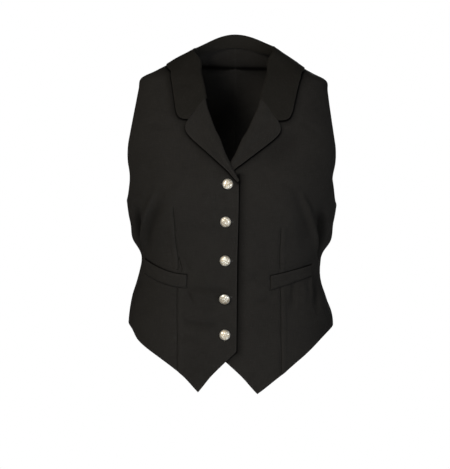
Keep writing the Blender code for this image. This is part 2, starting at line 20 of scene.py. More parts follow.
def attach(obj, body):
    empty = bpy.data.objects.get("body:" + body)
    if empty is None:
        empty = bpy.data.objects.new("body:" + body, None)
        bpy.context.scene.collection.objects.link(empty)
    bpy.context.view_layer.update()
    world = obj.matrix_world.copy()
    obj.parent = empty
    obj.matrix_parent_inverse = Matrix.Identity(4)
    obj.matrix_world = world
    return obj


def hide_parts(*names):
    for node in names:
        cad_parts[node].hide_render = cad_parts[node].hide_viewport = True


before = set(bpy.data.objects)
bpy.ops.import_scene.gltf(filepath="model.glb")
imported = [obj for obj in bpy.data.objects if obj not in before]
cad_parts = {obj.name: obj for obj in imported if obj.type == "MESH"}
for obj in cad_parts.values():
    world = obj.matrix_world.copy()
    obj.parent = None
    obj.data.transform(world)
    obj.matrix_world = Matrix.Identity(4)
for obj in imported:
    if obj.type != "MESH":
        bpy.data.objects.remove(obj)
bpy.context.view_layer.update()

log = logging.getLogger("canvas_vest")

SIDE_ANGLE = math.pi / 2
CENTRE_BACK = math.pi
DEGREE_ARC = 0.0026
TINY = 1e-6
LEAST_SPAN = 1e-12
CLOTH_WALL = 0.0015

Line = list[Vector]
Rows = list[list[Vector]]
Value = float | Vector
Colour = tuple[float, float, float, float]


class Side(Enum):
    """The wearer's side that a piece is on; the value is the sign of its X."""

    RIGHT = -1
    LEFT = 1

    @property
    def label(self) -> str:
        """The side's word in the names of nodes."""
        return self.name.lower()


class Hold(Enum):
    """How a piece of cloth is held."""

    HUNG = "hung"
    FOLDED = "folded"
    LAID = "laid"


class Ring(NamedTuple):
    """One section of the figure."""

    height: float
    half_width: float
    front: float
    back: float
    fullness: float
    back_rise: float


class Seen(NamedTuple):
    """A point as seen from the front: across from the centre, and height."""

    across: float
    height: float


class Turn(NamedTuple):
    """A point by its angle from the centre front in degrees, and height."""

    angle: float
    height: float


class Crease(NamedTuple):
    """A soft crease between two points, angles in degrees and heights in metres."""

    start_angle: float
    start_height: float
    end_angle: float
    end_height: float
    half_width: float
    relief: float
    bow: float = 0.0
    taper: float = 0.4

    def at(self, angle: float, height: float) -> float:
        """How far the crease moves the cloth out.

        Args:
            angle: degrees from the centre front, positive towards +X.
            height: height in metres.

        Returns:
            Metres outwards.
        """
        along_x = (self.end_angle - self.start_angle) * DEGREE_ARC
        along_y = self.end_height - self.start_height
        length = math.hypot(along_x, along_y)
        x = (angle - self.start_angle) * DEGREE_ARC
        y = height - self.start_height
        share = (x * along_x + y * along_y) / length**2
        if not 0 < share < 1:
            return 0.0
        across = (x * along_y - y * along_x) / length - self.bow * 4 * share * (1 - share)
        ends = ease(share / self.taper) * ease((1 - share) / self.taper)
        return self.relief * bump(across / self.half_width) * ends


class Cut(NamedTuple):
    """Flat size of the cut of a piece of cloth: width and length in metres, area in square metres."""

    width: float
    length: float
    area: float


class Mark(NamedTuple):
    """What lines leave on one point of a panel.

    across is the distance from the nearest line in that line's own widths, strength is how dark
    that line is, a seam or a painted shadow line along an overlying edge, shade is painted soft shade
    under an edge and in a crease's hollow, and pressed is 1 on a pressed allowance.
    """

    across: float = 3.0
    strength: float = 0.0
    shade: float = 0.0
    pressed: float = 0.0


def bump(value: float) -> float:
    """Smooth hump: 1 at 0, and almost nothing past 2."""
    return math.exp(-value * value)


def ease(value: float) -> float:
    """Smooth step from 0 to 1."""
    value = min(max(value, 0.0), 1.0)
    return value * value * (3 - 2 * value)


def hermite(before: Value, start: Value, end: Value, after: Value, share: float) -> Value:
    """Cubic through start and end, with the slopes that their neighbours give.

    Args:
        before: value before the start.
        start: value at share 0.
        end: value at share 1.
        after: value after the end.
        share: share of the way from start to end.

    Returns:
        The value there, a number or a Vector as the others are.
    """
    a = 2 * start
    b = end - before
    c = 2 * before - 5 * start + 4 * end - after
    d = 3 * start - before - 3 * end + after
    return 0.5 * (a + b * share + c * share**2 + d * share**3)


RIGHT_SIDE_CREASES = (
    Crease(-48, -0.222, -82, -0.350, 0.0052, 0.0060, -0.009, 0.32),
    Crease(-62, -0.250, -91, -0.364, 0.0120, -0.0100, -0.004, 0.40),
    Crease(-95, -0.283, -96, -0.347, 0.0230, 0.0068, 0.0, 0.5),
    Crease(-43, -0.236, -73, -0.350, 0.0105, -0.0046, -0.002, 0.40),
    Crease(-35, -0.236, -60, -0.350, 0.0085, 0.0020),
    Crease(-104, -0.255, -98, -0.350, 0.0090, -0.0045),
    Crease(-118, -0.270, -102, -0.345, 0.0100, 0.0030),
    Crease(-74, -0.372, -80, -0.440, 0.0100, -0.0022),
)
LEFT_SIDE_CREASES = (
    Crease(46, -0.222, 81, -0.350, 0.0056, 0.0052, 0.010, 0.32),
    Crease(59, -0.248, 90, -0.362, 0.0125, -0.0108, 0.004, 0.40),
    Crease(95, -0.280, 96, -0.345, 0.0230, 0.0066, 0.0, 0.5),
    Crease(42, -0.226, 66, -0.330, 0.0105, -0.0024, 0.0, 0.40),
    Crease(36, -0.246, 57, -0.345, 0.0085, 0.0016),
    Crease(106, -0.260, 99, -0.352, 0.0095, -0.0050),
    Crease(115, -0.262, 104, -0.350, 0.0090, 0.0026),
    Crease(86, -0.350, 96, -0.432, 0.0260, -0.0050),
    Crease(88, -0.415, 88, -0.500, 0.0300, 0.0030),
)
LEFT_HIP_CREASES = (
    Crease(52, -0.372, 46, -0.438, 0.0062, -0.0024, 0.003),
    Crease(59, -0.374, 54, -0.430, 0.0058, 0.0014),
    Crease(66, -0.364, 62, -0.416, 0.0046, 0.0020),
    Crease(73, -0.360, 64, -0.444, 0.0080, -0.0036, 0.003),
    Crease(12, -0.422, 37, -0.403, 0.0046, -0.0018, 0.003),
    Crease(28, -0.372, 12, -0.392, 0.0060, -0.0012),
)
RIGHT_FRONT_CREASES = (
    Crease(-36, -0.3955, 4, -0.4020, 0.0042, -0.0026, 0.0, 0.25),
    Crease(-33, -0.4050, -4, -0.4120, 0.0052, 0.0014),
    Crease(-33, -0.3960, -25, -0.4270, 0.0040, -0.0024, 0.0, 0.3),
    Crease(-37, -0.4460, -5, -0.4520, 0.0052, -0.0026, 0.008, 0.25),
    Crease(-34, -0.4640, -8, -0.4680, 0.0062, 0.0014, 0.006),
    Crease(-22, -0.4300, -2, -0.4230, 0.0052, -0.0016, 0.002),
    Crease(-38, -0.3360, -28, -0.3780, 0.0040, -0.0016),
    Crease(-66, -0.0960, -38, -0.1180, 0.0040, 0.0014, 0.002),
    Crease(-70, -0.1180, -46, -0.1300, 0.0050, -0.0014),
    Crease(-40, -0.4740, -15, -0.4860, 0.0056, -0.0020, 0.003, 0.3),
    Crease(-30, -0.5060, -12, -0.4980, 0.0060, -0.0012),
)
CHEST_CREASES = (
    Crease(14, -0.204, 60, -0.112, 0.0300, -0.0030),
    Crease(-24, -0.176, -46, -0.128, 0.0140, -0.0016),
    Crease(60, -0.250, 30, -0.205, 0.0100, -0.0014, -0.004),
    Crease(-60, -0.246, -34, -0.212, 0.0100, -0.0012, 0.004),
    Crease(70, -0.150, 50, -0.105, 0.0070, -0.0010),
)
BACK_CREASES = (
    Crease(112, -0.245, 152, -0.300, 0.0105, -0.0042, 0.005),
    Crease(118, -0.285, 158, -0.330, 0.0085, 0.0029, 0.004),
    Crease(110, -0.330, 168, -0.352, 0.0085, -0.0044, 0.004),
    Crease(122, -0.372, 174, -0.366, 0.0075, 0.0020, -0.003),
    Crease(128, -0.398, 150, -0.440, 0.0100, -0.0024),
    Crease(100, -0.395, 118, -0.455, 0.0120, 0.0022),
    Crease(120, -0.150, 144, -0.105, 0.0110, -0.0018),
    Crease(-114, -0.238, -150, -0.288, 0.0095, -0.0038, -0.004),
    Crease(-120, -0.300, -162, -0.322, 0.0090, -0.0035, -0.006),
    Crease(-112, -0.318, -156, -0.345, 0.0080, 0.0022, -0.003),
    Crease(-124, -0.366, -172, -0.358, 0.0080, -0.0039, 0.004),
    Crease(-118, -0.392, -146, -0.448, 0.0110, -0.0020),
    Crease(-104, -0.400, -122, -0.450, 0.0100, 0.0018),
    Crease(-122, -0.160, -148, -0.112, 0.0120, -0.0015),
)
ALL_CREASES = (
    *RIGHT_SIDE_CREASES,
    *LEFT_SIDE_CREASES,
    *LEFT_HIP_CREASES,
    *RIGHT_FRONT_CREASES,
    *CHEST_CREASES,
    *BACK_CREASES,
)


def run_through(places: Sequence[Vector], steps: int = 24) -> Line:
    """Smooth line through places.

    Args:
        places: the places, each an angle and a level.
        steps: points for each stretch.

    Returns:
        The line's points.
    """
    line = []
    for index in range(len(places) - 1):
        near = [places[min(max(index + step, 0), len(places) - 1)] for step in (-1, 0, 1, 2)]
        line += [hermite(*near, step / steps) for step in range(steps)]
    return line + [places[-1]]


def run_lengths(line: Sequence[Vector]) -> list[float]:
    """Measures along a line.

    Args:
        line: its points.

    Returns:
        How far along it each point is, the first one at 0.
    """
    lengths, along = [], 0.0
    for before, point in zip([line[0], *line], line):
        along += (point - before).length
        lengths.append(along)
    return lengths


def patch(low: Line, high: Line, start: Line, end: Line) -> Rows:
    """Rows of places inside four border lines.

    Args:
        low: the lowest row.
        high: the highest row.
        start: the first column, from low to high.
        end: the last column, from low to high.

    Returns:
        The rows.
    """
    rows = []
    for v, (first, last) in enumerate(zip(start, end)):
        t = v / (len(start) - 1)
        row = []
        for u, (under, over) in enumerate(zip(low, high)):
            s = u / (len(low) - 1)
            low_corners = low[0] * (1 - s) + low[-1] * s
            high_corners = high[0] * (1 - s) + high[-1] * s
            corners = low_corners * (1 - t) + high_corners * t
            row.append(under * (1 - t) + over * t + first * (1 - s) + last * s - corners)
        rows.append(row)
    return rows


@dataclass
class Figure:
    """The general figure that the vest keeps the form of, with the creases of the worn cloth."""

    rings: tuple[Ring, ...] = (
        Ring(-0.580, 0.1745, 0.1310, 0.1200, 2.25, 0.0000),
        Ring(-0.540, 0.1745, 0.1305, 0.1205, 2.25, 0.0000),
        Ring(-0.505, 0.1740, 0.1300, 0.1190, 2.25, 0.0000),
        Ring(-0.470, 0.1730, 0.1280, 0.1150, 2.25, 0.0000),
        Ring(-0.440, 0.1710, 0.1255, 0.1090, 2.25, 0.0000),
        Ring(-0.412, 0.1665, 0.1225, 0.1015, 2.23, 0.0000),
        Ring(-0.385, 0.1585, 0.1205, 0.0945, 2.20, 0.0000),
        Ring(-0.358, 0.1530, 0.1195, 0.0900, 2.18, 0.0000),
        Ring(-0.333, 0.1555, 0.1210, 0.0905, 2.18, 0.0000),
        Ring(-0.308, 0.1655, 0.1255, 0.0950, 2.22, 0.0000),
        Ring(-0.280, 0.1740, 0.1300, 0.1010, 2.27, 0.0000),
        Ring(-0.248, 0.1790, 0.1315, 0.1070, 2.30, 0.0000),
        Ring(-0.212, 0.1840, 0.1275, 0.1110, 2.30, 0.0000),
        Ring(-0.176, 0.1860, 0.1205, 0.1130, 2.30, 0.0000),
        Ring(-0.142, 0.1835, 0.1115, 0.1120, 2.30, 0.0005),
        Ring(-0.110, 0.1775, 0.1005, 0.1075, 2.30, 0.0015),
        Ring(-0.083, 0.1705, 0.0885, 0.1005, 2.30, 0.0030),
        Ring(-0.061, 0.1635, 0.0760, 0.0920, 2.30, 0.0050),
        Ring(-0.043, 0.1570, 0.0635, 0.0825, 2.27, 0.0075),
        Ring(-0.031, 0.1345, 0.0540, 0.0730, 2.22, 0.0090),
        Ring(-0.0185, 0.1110, 0.0445, 0.0645, 2.15, 0.0105),
        Ring(-0.0065, 0.0875, 0.0370, 0.0580, 2.10, 0.0120),
        Ring(0.0030, 0.0675, 0.0330, 0.0545, 2.05, 0.0140),
        Ring(0.0140, 0.0635, 0.0340, 0.0535, 2.00, 0.0165),
        Ring(0.0280, 0.0615, 0.0345, 0.0530, 2.00, 0.0190),
        Ring(0.0450, 0.0610, 0.0350, 0.0530, 2.00, 0.0210),
    )
    tip_level: int = 18
    neck_level: int = 22
    bust_across: float = 0.086
    bust_height: float = -0.250
    bust_fullness: float = 0.009
    bust_width: float = 0.052
    bust_length: float = 0.058
    bust_end: float = 3.0
    creases: tuple[Crease, ...] = ALL_CREASES
    # Painted shade in the hollows of the creases: how dark it gets, and the depth at which it is full.
    hollow_dark: float = 0.62
    hollow_depth: float = 0.0085
    halvings: int = 40
    turn_step: float = 0.004
    level_step: float = 0.02
    climb_angle: float = math.radians(40)
    flat_columns: int = 73
    flat_table: list[tuple[float, list[float]]] = field(default_factory=list)

    def ring_at(self, level: float) -> Ring:
        """Ring at a level, which may lie between two rings.

        Args:
            level: level on the figure.

        Returns:
            The ring there.
        """
        top = len(self.rings) - 1
        level = min(max(level, 0.0), top - TINY)
        index = int(level)
        near = [self.rings[min(max(index + step, 0), top)] for step in (-1, 0, 1, 2)]
        return Ring(*(hermite(*values, level - index) for values in zip(*near)))

    def level_at(self, height: float) -> float:
        """Level of the ring at a height.

        Args:
            height: height in metres.

        Returns:
            The level.
        """
        low, high = 0.0, float(len(self.rings) - 1)
        for _ in range(self.halvings):
            middle = (low + high) / 2
            if self.ring_at(middle).height < height:
                low = middle
            else:
                high = middle
        return (low + high) / 2

    def point(self, angle: float, level: float) -> Vector:
        """Point of the bare figure at an angle and a level.

        Args:
            angle: radians from the centre front, positive towards +X.
            level: level on the figure.

        Returns:
            The point.
        """
        ring = self.ring_at(level)
        sine, cosine = math.sin(angle), math.cos(angle)
        depth = ring.front if cosine > 0 else ring.back
        power = ring.fullness
        reach = (abs(sine / ring.half_width) ** power + abs(cosine / depth) ** power) ** (-1 / power)
        x, y, z = reach * sine, -reach * cosine, ring.height
        if cosine > 0:
            across = bump((abs(x) - self.bust_across) / self.bust_width)
            cup = across * bump((z - self.bust_height) / self.bust_length)
            y -= self.bust_fullness * cup * ease(cosine * self.bust_end)
        else:
            z += ring.back_rise * cosine * cosine
        return Vector((x, y, z))

    def outward(self, angle: float, level: float) -> Vector:
        """Outward normal of the figure.

        Args:
            angle: radians from the centre front, positive towards +X.
            level: level on the figure.

        Returns:
            The normal, of length 1.
        """
        turn, rise = self.turn_step, self.level_step
        across = self.point(angle + turn, level) - self.point(angle - turn, level)
        up = self.point(angle, level + rise) - self.point(angle, level - rise)
        return across.cross(up).normalized()

    def relief(self, angle: float, height: float) -> float:
        """How far the creases move the cloth out at an angle and height."""
        degrees = math.degrees(angle)
        return sum(crease.at(degrees, height) for crease in self.creases)

    def hollowed(self, mark: Mark, angle: float, level: float) -> Mark:
        """A mark with the painted shade of a crease's hollow, where that is darker than its own."""
        relief = self.relief(angle, self.ring_at(level).height)
        return mark._replace(shade=max(mark.shade, self.hollow_dark * ease(-relief / self.hollow_depth)))

    def cloth(self, angle: float, level: float, out: float = 0.0) -> Vector:
        """Point on the outer face of the cloth, or out from it."""
        point = self.point(angle, level)
        return point + self.outward(angle, level) * (self.relief(angle, point.z) + out)

    def place_seen(self, seen: Seen) -> Vector:
        """Angle and level of a point that is given as seen from the front.

        Args:
            seen: the point as seen.

        Returns:
            Its place.
        """
        level = self.level_at(seen.height)
        ring = self.ring_at(level)
        share = min(abs(seen.across) / ring.half_width, 1.0)
        depth = ring.front * (1 - share**ring.fullness) ** (1 / ring.fullness)
        return Vector((math.atan2(seen.across, depth), level))

    def seen_places(self, table: Sequence[Seen], spread: float = 1.0) -> Line:
        """Places of a table's points as seen from the front, with their distances spread."""
        return [self.place_seen(Seen(seen.across * spread, seen.height)) for seen in table]

    def turned_places(self, table: Sequence[Turn]) -> Line:
        """Places of a table's angles and heights."""
        return [Vector((math.radians(turn.angle), self.level_at(turn.height))) for turn in table]

    def spaced(self, line: Line, count: int, power: float = 1.0) -> Line:
        """The line again as lengths of cloth.

        Args:
            line: places.
            count: how many lengths it is cut into.
            power: above 1, the lengths are shorter near the line's start.

        Returns:
            count + 1 places.
        """
        along = run_lengths([self.point(*place) for place in line])
        places, index = [], 0
        for step in range(count + 1):
            target = along[-1] * (step / count) ** power
            while index < len(line) - 2 and along[index + 1] < target:
                index += 1
            span = max(along[index + 1] - along[index], LEAST_SPAN)
            places.append(line[index].lerp(line[index + 1], min((target - along[index]) / span, 1.0)))
        return places

    def lay_flat(self) -> None:
        """Works out, ring by ring, how far round and how far up the cloth each angle lies."""
        levels = range(len(self.rings))
        angles = [math.pi * step / (self.flat_columns - 1) for step in range(self.flat_columns)]
        climbs = run_lengths([self.point(self.climb_angle, level) for level in levels])
        for level, climb in zip(levels, climbs):
            self.flat_table.append((climb, run_lengths([self.point(angle, level) for angle in angles])))

    def flat(self, angle: float, level: float) -> Vector:
        """Where a place lies on the flat cloth, in metres round from the centre front and up.

        Args:
            angle: radians from the centre front, positive towards +X.
            level: level on the figure.

        Returns:
            Metres round and metres up.
        """
        if not self.flat_table:
            self.lay_flat()
        level = min(max(level, 0.0), len(self.rings) - 1 - TINY)
        index = int(level)
        share = level - index
        column = min(abs(angle) / math.pi, 1.0) * (self.flat_columns - 1)
        cell = min(int(column), self.flat_columns - 2)
        part = column - cell
        (low_climb, low), (high_climb, high) = self.flat_table[index], self.flat_table[index + 1]
        low_around = low[cell] + (low[cell + 1] - low[cell]) * part
        high_around = high[cell] + (high[cell + 1] - high[cell]) * part
        around = low_around + (high_around - low_around) * share
        return Vector((math.copysign(around, angle), low_climb + (high_climb - low_climb) * share))


@dataclass
class FrontCut:
    """How one front, its lapel and its half of the collar are cut and lie on the figure."""

    figure: Figure
    side: Side
    past_centre: float
    break_height: float
    lift: float
    break_lift: float
    spread: float
    stand: float
    collar_level: float
    corner_height: float
    point: Seen
    hem: tuple[Seen, ...]
    side_hem_height: float = -0.4550
    underarm_height: float = -0.2560
    gorge_height: float = -0.0800
    lift_full: float = 0.028
    lift_end: float = 0.066
    lift_low: float = -0.262
    lift_high: float = -0.175
    lift_top: float = -0.085
    foot_in: float = 0.0015
    foot_below: float = 0.0035
    roll_tuck: float = 0.0020
    roll_tuck_start: int = 30
    roll_tuck_end: int = 12
    roll_radius: float = 0.12
    point_share: float = 0.24
    armhole: tuple[Turn, ...] = (
        Turn(78.5, -0.2460), Turn(73.0, -0.2280), Turn(71.5, -0.2080), Turn(74.0, -0.1840),
        Turn(75.2, -0.1600), Turn(75.2, -0.1350), Turn(76.5, -0.1080), Turn(79.0, -0.0830),
        Turn(82.5, -0.0630), Turn(86.0, -0.0515),
    )
    roll: tuple[Seen, ...] = (
        Seen(0.0015, -0.1870), Seen(0.0105, -0.1690), Seen(0.0189, -0.1480), Seen(0.0270, -0.1335),
        Seen(0.0363, -0.1110), Seen(0.0440, -0.0905), Seen(0.0492, -0.0650), Seen(0.0560, -0.0420),
        Seen(0.0620, -0.0135),
    )
    lapel_edge: tuple[Seen, ...] = (
        Seen(0.0050, -0.2020), Seen(0.0215, -0.1880), Seen(0.0385, -0.1735), Seen(0.0590, -0.1560),
        Seen(0.0725, -0.1435), Seen(0.0785, -0.1340), Seen(0.0778, -0.1245), Seen(0.0743, -0.1172),
    )
    collar_edge: tuple[Seen, ...] = (
        Seen(0.0739, -0.1163), Seen(0.0840, -0.1155), Seen(0.0915, -0.1120), Seen(0.0963, -0.1020),
        Seen(0.0997, -0.0845), Seen(0.1036, -0.0640), Seen(0.1078, -0.0460), Seen(0.1112, -0.0320),
    )

    def lift_at(self, across: float, height: float) -> float:
        """How far the front stands off the figure where it lies on the other front.

        Args:
            across: metres from the centre, towards this front's side.
            height: height in metres.

        Returns:
            Metres out.
        """
        near_break = ease((height - self.lift_low) / (self.break_height - self.lift_low))
        lift = self.lift + (self.break_lift - self.lift) * near_break
        lift *= 1 - ease((height - self.lift_high) / (self.lift_top - self.lift_high))
        return lift * (1 - ease((across - self.lift_full) / (self.lift_end - self.lift_full)))

    def on(self, place: Vector, out: float = 0.0) -> Vector:
        """Point on this front's outer face, or out from it.

        Args:
            place: the place on a front that lies at +X.
            out: metres out from the face.

        Returns:
            The point, on this front's own side.
        """
        across = self.figure.point(*place).x
        height = self.figure.ring_at(place[1]).height
        lift = self.lift_at(across, height)
        return self.figure.cloth(self.side.value * place[0], place[1], out + lift)

    def normal(self, place: Vector) -> Vector:
        """Outward normal at a place."""
        return self.figure.outward(self.side.value * place[0], place[1])

    def places_of(self, table: Sequence[Seen]) -> Line:
        """Places of a table's points, as wide apart as this side's neckline lies."""
        return self.figure.seen_places(table, self.spread)

    def lapel_places(self) -> Line:
        """Places of the lapel's outer edge, from its foot up to the notch."""
        foot = Seen(-self.past_centre + self.foot_in, self.break_height - self.foot_below)
        return [self.figure.place_seen(foot), *self.places_of(self.lapel_edge)]

    def roll_line(self) -> Line:
        """Line on which the lapel and the collar fold, from the break up to the neck.

        Returns:
            Its places.
        """
        start = self.figure.place_seen(Seen(-self.past_centre, self.break_height))
        neck = Vector((SIDE_ANGLE, self.figure.neck_level))
        return run_through([start, *self.places_of(self.roll), neck])

    def roll_parts(self) -> tuple[Line, Line]:
        """The roll line below and above the gorge.

        Returns:
            The places below, and the places above.
        """
        level = self.figure.level_at(self.gorge_height)
        line = self.roll_line()
        for index, (low, high) in enumerate(zip(line, line[1:])):
            if high.y >= level:
                gorge = low.lerp(high, (level - low.y) / (high.y - low.y))
                return [*line[: index + 1], gorge], [gorge, *line[index + 1 :]]
        return line, line[-1:]

    def panel_places(self, columns: int, edge_rows: int, neck_rows: int) -> Rows:
        """Places of the front's cloth, row by row from the hem.

        Args:
            columns: how many cells a row has.
            edge_rows: rows below the underarm and the break.
            neck_rows: rows above them.

        Returns:
            The rows, each from the front edge to the side.
        """
        figure = self.figure
        corner = figure.place_seen(Seen(-self.past_centre, self.corner_height))
        point = figure.place_seen(self.point)
        side_hem = Vector((SIDE_ANGLE, figure.level_at(self.side_hem_height)))
        underarm = Vector((SIDE_ANGLE, figure.level_at(self.underarm_height)))
        tip = Vector((SIDE_ANGLE, figure.tip_level))
        roll = self.roll_line()
        tucked = []
        for index, place in enumerate(roll):
            above = len(roll) - 1 - index
            tuck = self.roll_tuck * ease(index / self.roll_tuck_start) * ease(above / self.roll_tuck_end)
            tucked.append(Vector((place.x + tuck / self.roll_radius, place.y)))
        point_column = round(columns * self.point_share)
        to_point = figure.spaced(run_through([corner, point]), point_column)
        to_side = [point, *figure.seen_places(self.hem), side_hem]
        hem = to_point + figure.spaced(run_through(to_side), columns - point_column)[1:]
        start = figure.spaced(run_through([corner, tucked[0]]), edge_rows)
        start += figure.spaced(tucked, neck_rows)[1:]
        armhole = run_through([underarm, *figure.turned_places(self.armhole), tip])
        end = figure.spaced(run_through([side_hem, underarm]), edge_rows)
        end += figure.spaced(armhole, neck_rows)[1:]
        shoulder = figure.spaced(run_through([tucked[-1], tip]), columns)
        return patch(hem, shoulder, start, end)


def both_fronts(figure: Figure) -> tuple[FrontCut, FrontCut]:
    """Cuts of the wearer's right front, which lies on top, and of the left one under it.

    Args:
        figure: the figure that they lie on.

    Returns:
        The right one and the left one.
    """
    right = FrontCut(
        figure=figure,
        side=Side.RIGHT,
        past_centre=0.0155,
        break_height=-0.2180,
        lift=0.0026,
        break_lift=0.0048,
        spread=0.955,
        stand=0.0055,
        collar_level=20.05,
        corner_height=-0.5005,
        point=Seen(0.0470, -0.5690),
        hem=(Seen(0.0811, -0.5363), Seen(0.1174, -0.5110), Seen(0.1515, -0.4861), Seen(0.1650, -0.4660)),
    )
    left = FrontCut(
        figure=figure,
        side=Side.LEFT,
        past_centre=0.0240,
        break_height=-0.2300,
        lift=0.0,
        break_lift=0.0,
        spread=1.045,
        stand=0.0105,
        collar_level=19.75,
        corner_height=-0.4990,
        point=Seen(0.0515, -0.5705),
        hem=(Seen(0.0899, -0.5400), Seen(0.1193, -0.5145), Seen(0.1536, -0.4811), Seen(0.1680, -0.4650)),
    )
    return right, left


class Stroke(NamedTuple):
    """How a line on a panel looks: the dark line, the groove under it and the painted soft shade beside it.
    Along a seam the dark line is the seam's own; along an overlying edge or a pocket's mouth it is a painted
    shadow.
    """

    strength: float = 0.6
    line_width: float = 0.0012
    groove: float = 0.0006
    groove_width: float = 0.0021
    fade: float = 0.010
    shade: float = 0.0
    shade_width: float = 0.009


DART_SEAM = Stroke()
# Painted shadow: the dark line in the pocket's mouth behind the welt.
WELT_MOUTH = Stroke(0.85, line_width=0.0027, groove=0.0011, groove_width=0.0024, fade=0.003)
WELT_SEAM = Stroke(0.55, line_width=0.0016, groove=0.0004, fade=0.002)
# Painted shadow: a dark line and soft shade where a lapel, the collar or the other front lies over the
# panel.
UNDER_LAPEL = Stroke(0.88, line_width=0.0037, groove=0.0, fade=0.006, shade=0.36, shade_width=0.008)
UNDER_COLLAR = Stroke(0.94, line_width=0.0043, groove=0.0, fade=0.006, shade=0.40)
UNDER_FRONT = Stroke(0.72, line_width=0.0042, groove=0.0, fade=0.012, shade=0.62, shade_width=0.0096)
UNDER_CORNER = Stroke(0.80, line_width=0.0050, groove=0.0, fade=0.004, shade=0.35)
UNDER_BACK_COLLAR = Stroke(0.92, line_width=0.0060, groove=0.0, fade=0.006, shade=0.35)


@dataclass
class SurfaceLine:
    """A line on a panel: a dart, a pocket's mouth, or the place where another piece's edge lies.

    Where cloth is pressed to one side of it, towards is -1 for the front edge's side of the line
    and 1 for the other side, with the line running up.
    """

    places: Sequence[Vector]
    stroke: Stroke
    towards: int = 0
    ridge: float = 0.0
    allowance: float = 0.0080
    allowance_start: float = 0.0020
    allowance_end: float = 0.0025
    steps: int = 4
    flat_points: Line = field(default_factory=list)

    def lay_out(self, figure: Figure) -> None:
        """Works out where the line runs on the flat cloth."""
        self.flat_points = [figure.flat(*place) for place in run_through(self.places, self.steps)]

    def offset(self, flat: Vector) -> tuple[float, float]:
        """Where a point of the flat cloth lies next to the line.

        Args:
            flat: the point.

        Returns:
            Its distance, with a sign for its side, and how much of the line is there, from 0 to 1.
        """
        best, across, share_left = 1.0, 1.0, 0.0
        last = len(self.flat_points) - 2
        for index, (start, end) in enumerate(zip(self.flat_points, self.flat_points[1:])):
            along = end - start
            length = along.length
            to_point = flat - start
            share = to_point.dot(along) / length**2
            sideways = (to_point.x * along.y - to_point.y * along.x) / length
            past = max(-share, share - 1, 0.0) * length
            distance = math.hypot(sideways, past)
            if distance < best:
                best, across = distance, sideways
                free = past if (share < 0 and index == 0) or (share > 1 and index == last) else 0.0
                share_left = 1 - ease(free / self.stroke.fade)
        return across, share_left

    def pressed(self, across: float, share: float) -> float:
        """How much of the pressed allowance lies under a point beside the line.

        Args:
            across: distance from the line, with its sign.
            share: how much of the line is there.

        Returns:
            A share from 0 to 1.
        """
        beside = across * self.towards
        inside = 1 - ease((beside - self.allowance) / self.allowance_end)
        return share * ease(beside / self.allowance_start) * inside

    def relief(self, across: float, share: float) -> float:
        """How far the line moves the cloth out, with the ridge of the cloth pressed to its side."""
        groove = self.stroke.groove * bump(across / self.stroke.groove_width)
        return self.ridge * self.pressed(across, share) - share * groove


@dataclass
class LineWork:
    """All lines of one panel."""

    figure: Figure
    lines: Sequence[SurfaceLine]
    reach: float = 0.024

    def __post_init__(self) -> None:
        """Lays the lines out on the flat cloth."""
        for line in self.lines:
            line.lay_out(self.figure)

    def at(self, flat: Vector) -> tuple[float, Mark]:
        """What the lines do at a point of the flat cloth.

        Args:
            flat: the point.

        Returns:
            How far they move it out, and the marks that they leave.
        """
        out, mark = 0.0, Mark()
        for line in self.lines:
            offset, share = line.offset(flat)
            if abs(offset) > self.reach or share == 0:
                continue
            out += line.relief(offset, share)
            stroke = line.stroke
            widths = offset / stroke.line_width
            here = stroke.strength * share * (1 - ease(abs(widths) - 2))
            across, strength = (widths, here) if here > mark.strength else mark[:2]
            shade = stroke.shade * share * bump(offset / stroke.shade_width)
            pressed = line.pressed(offset, share) if line.ridge else 0.0
            mark = Mark(across, strength, max(mark.shade, shade), max(mark.pressed, pressed))
        return out, mark


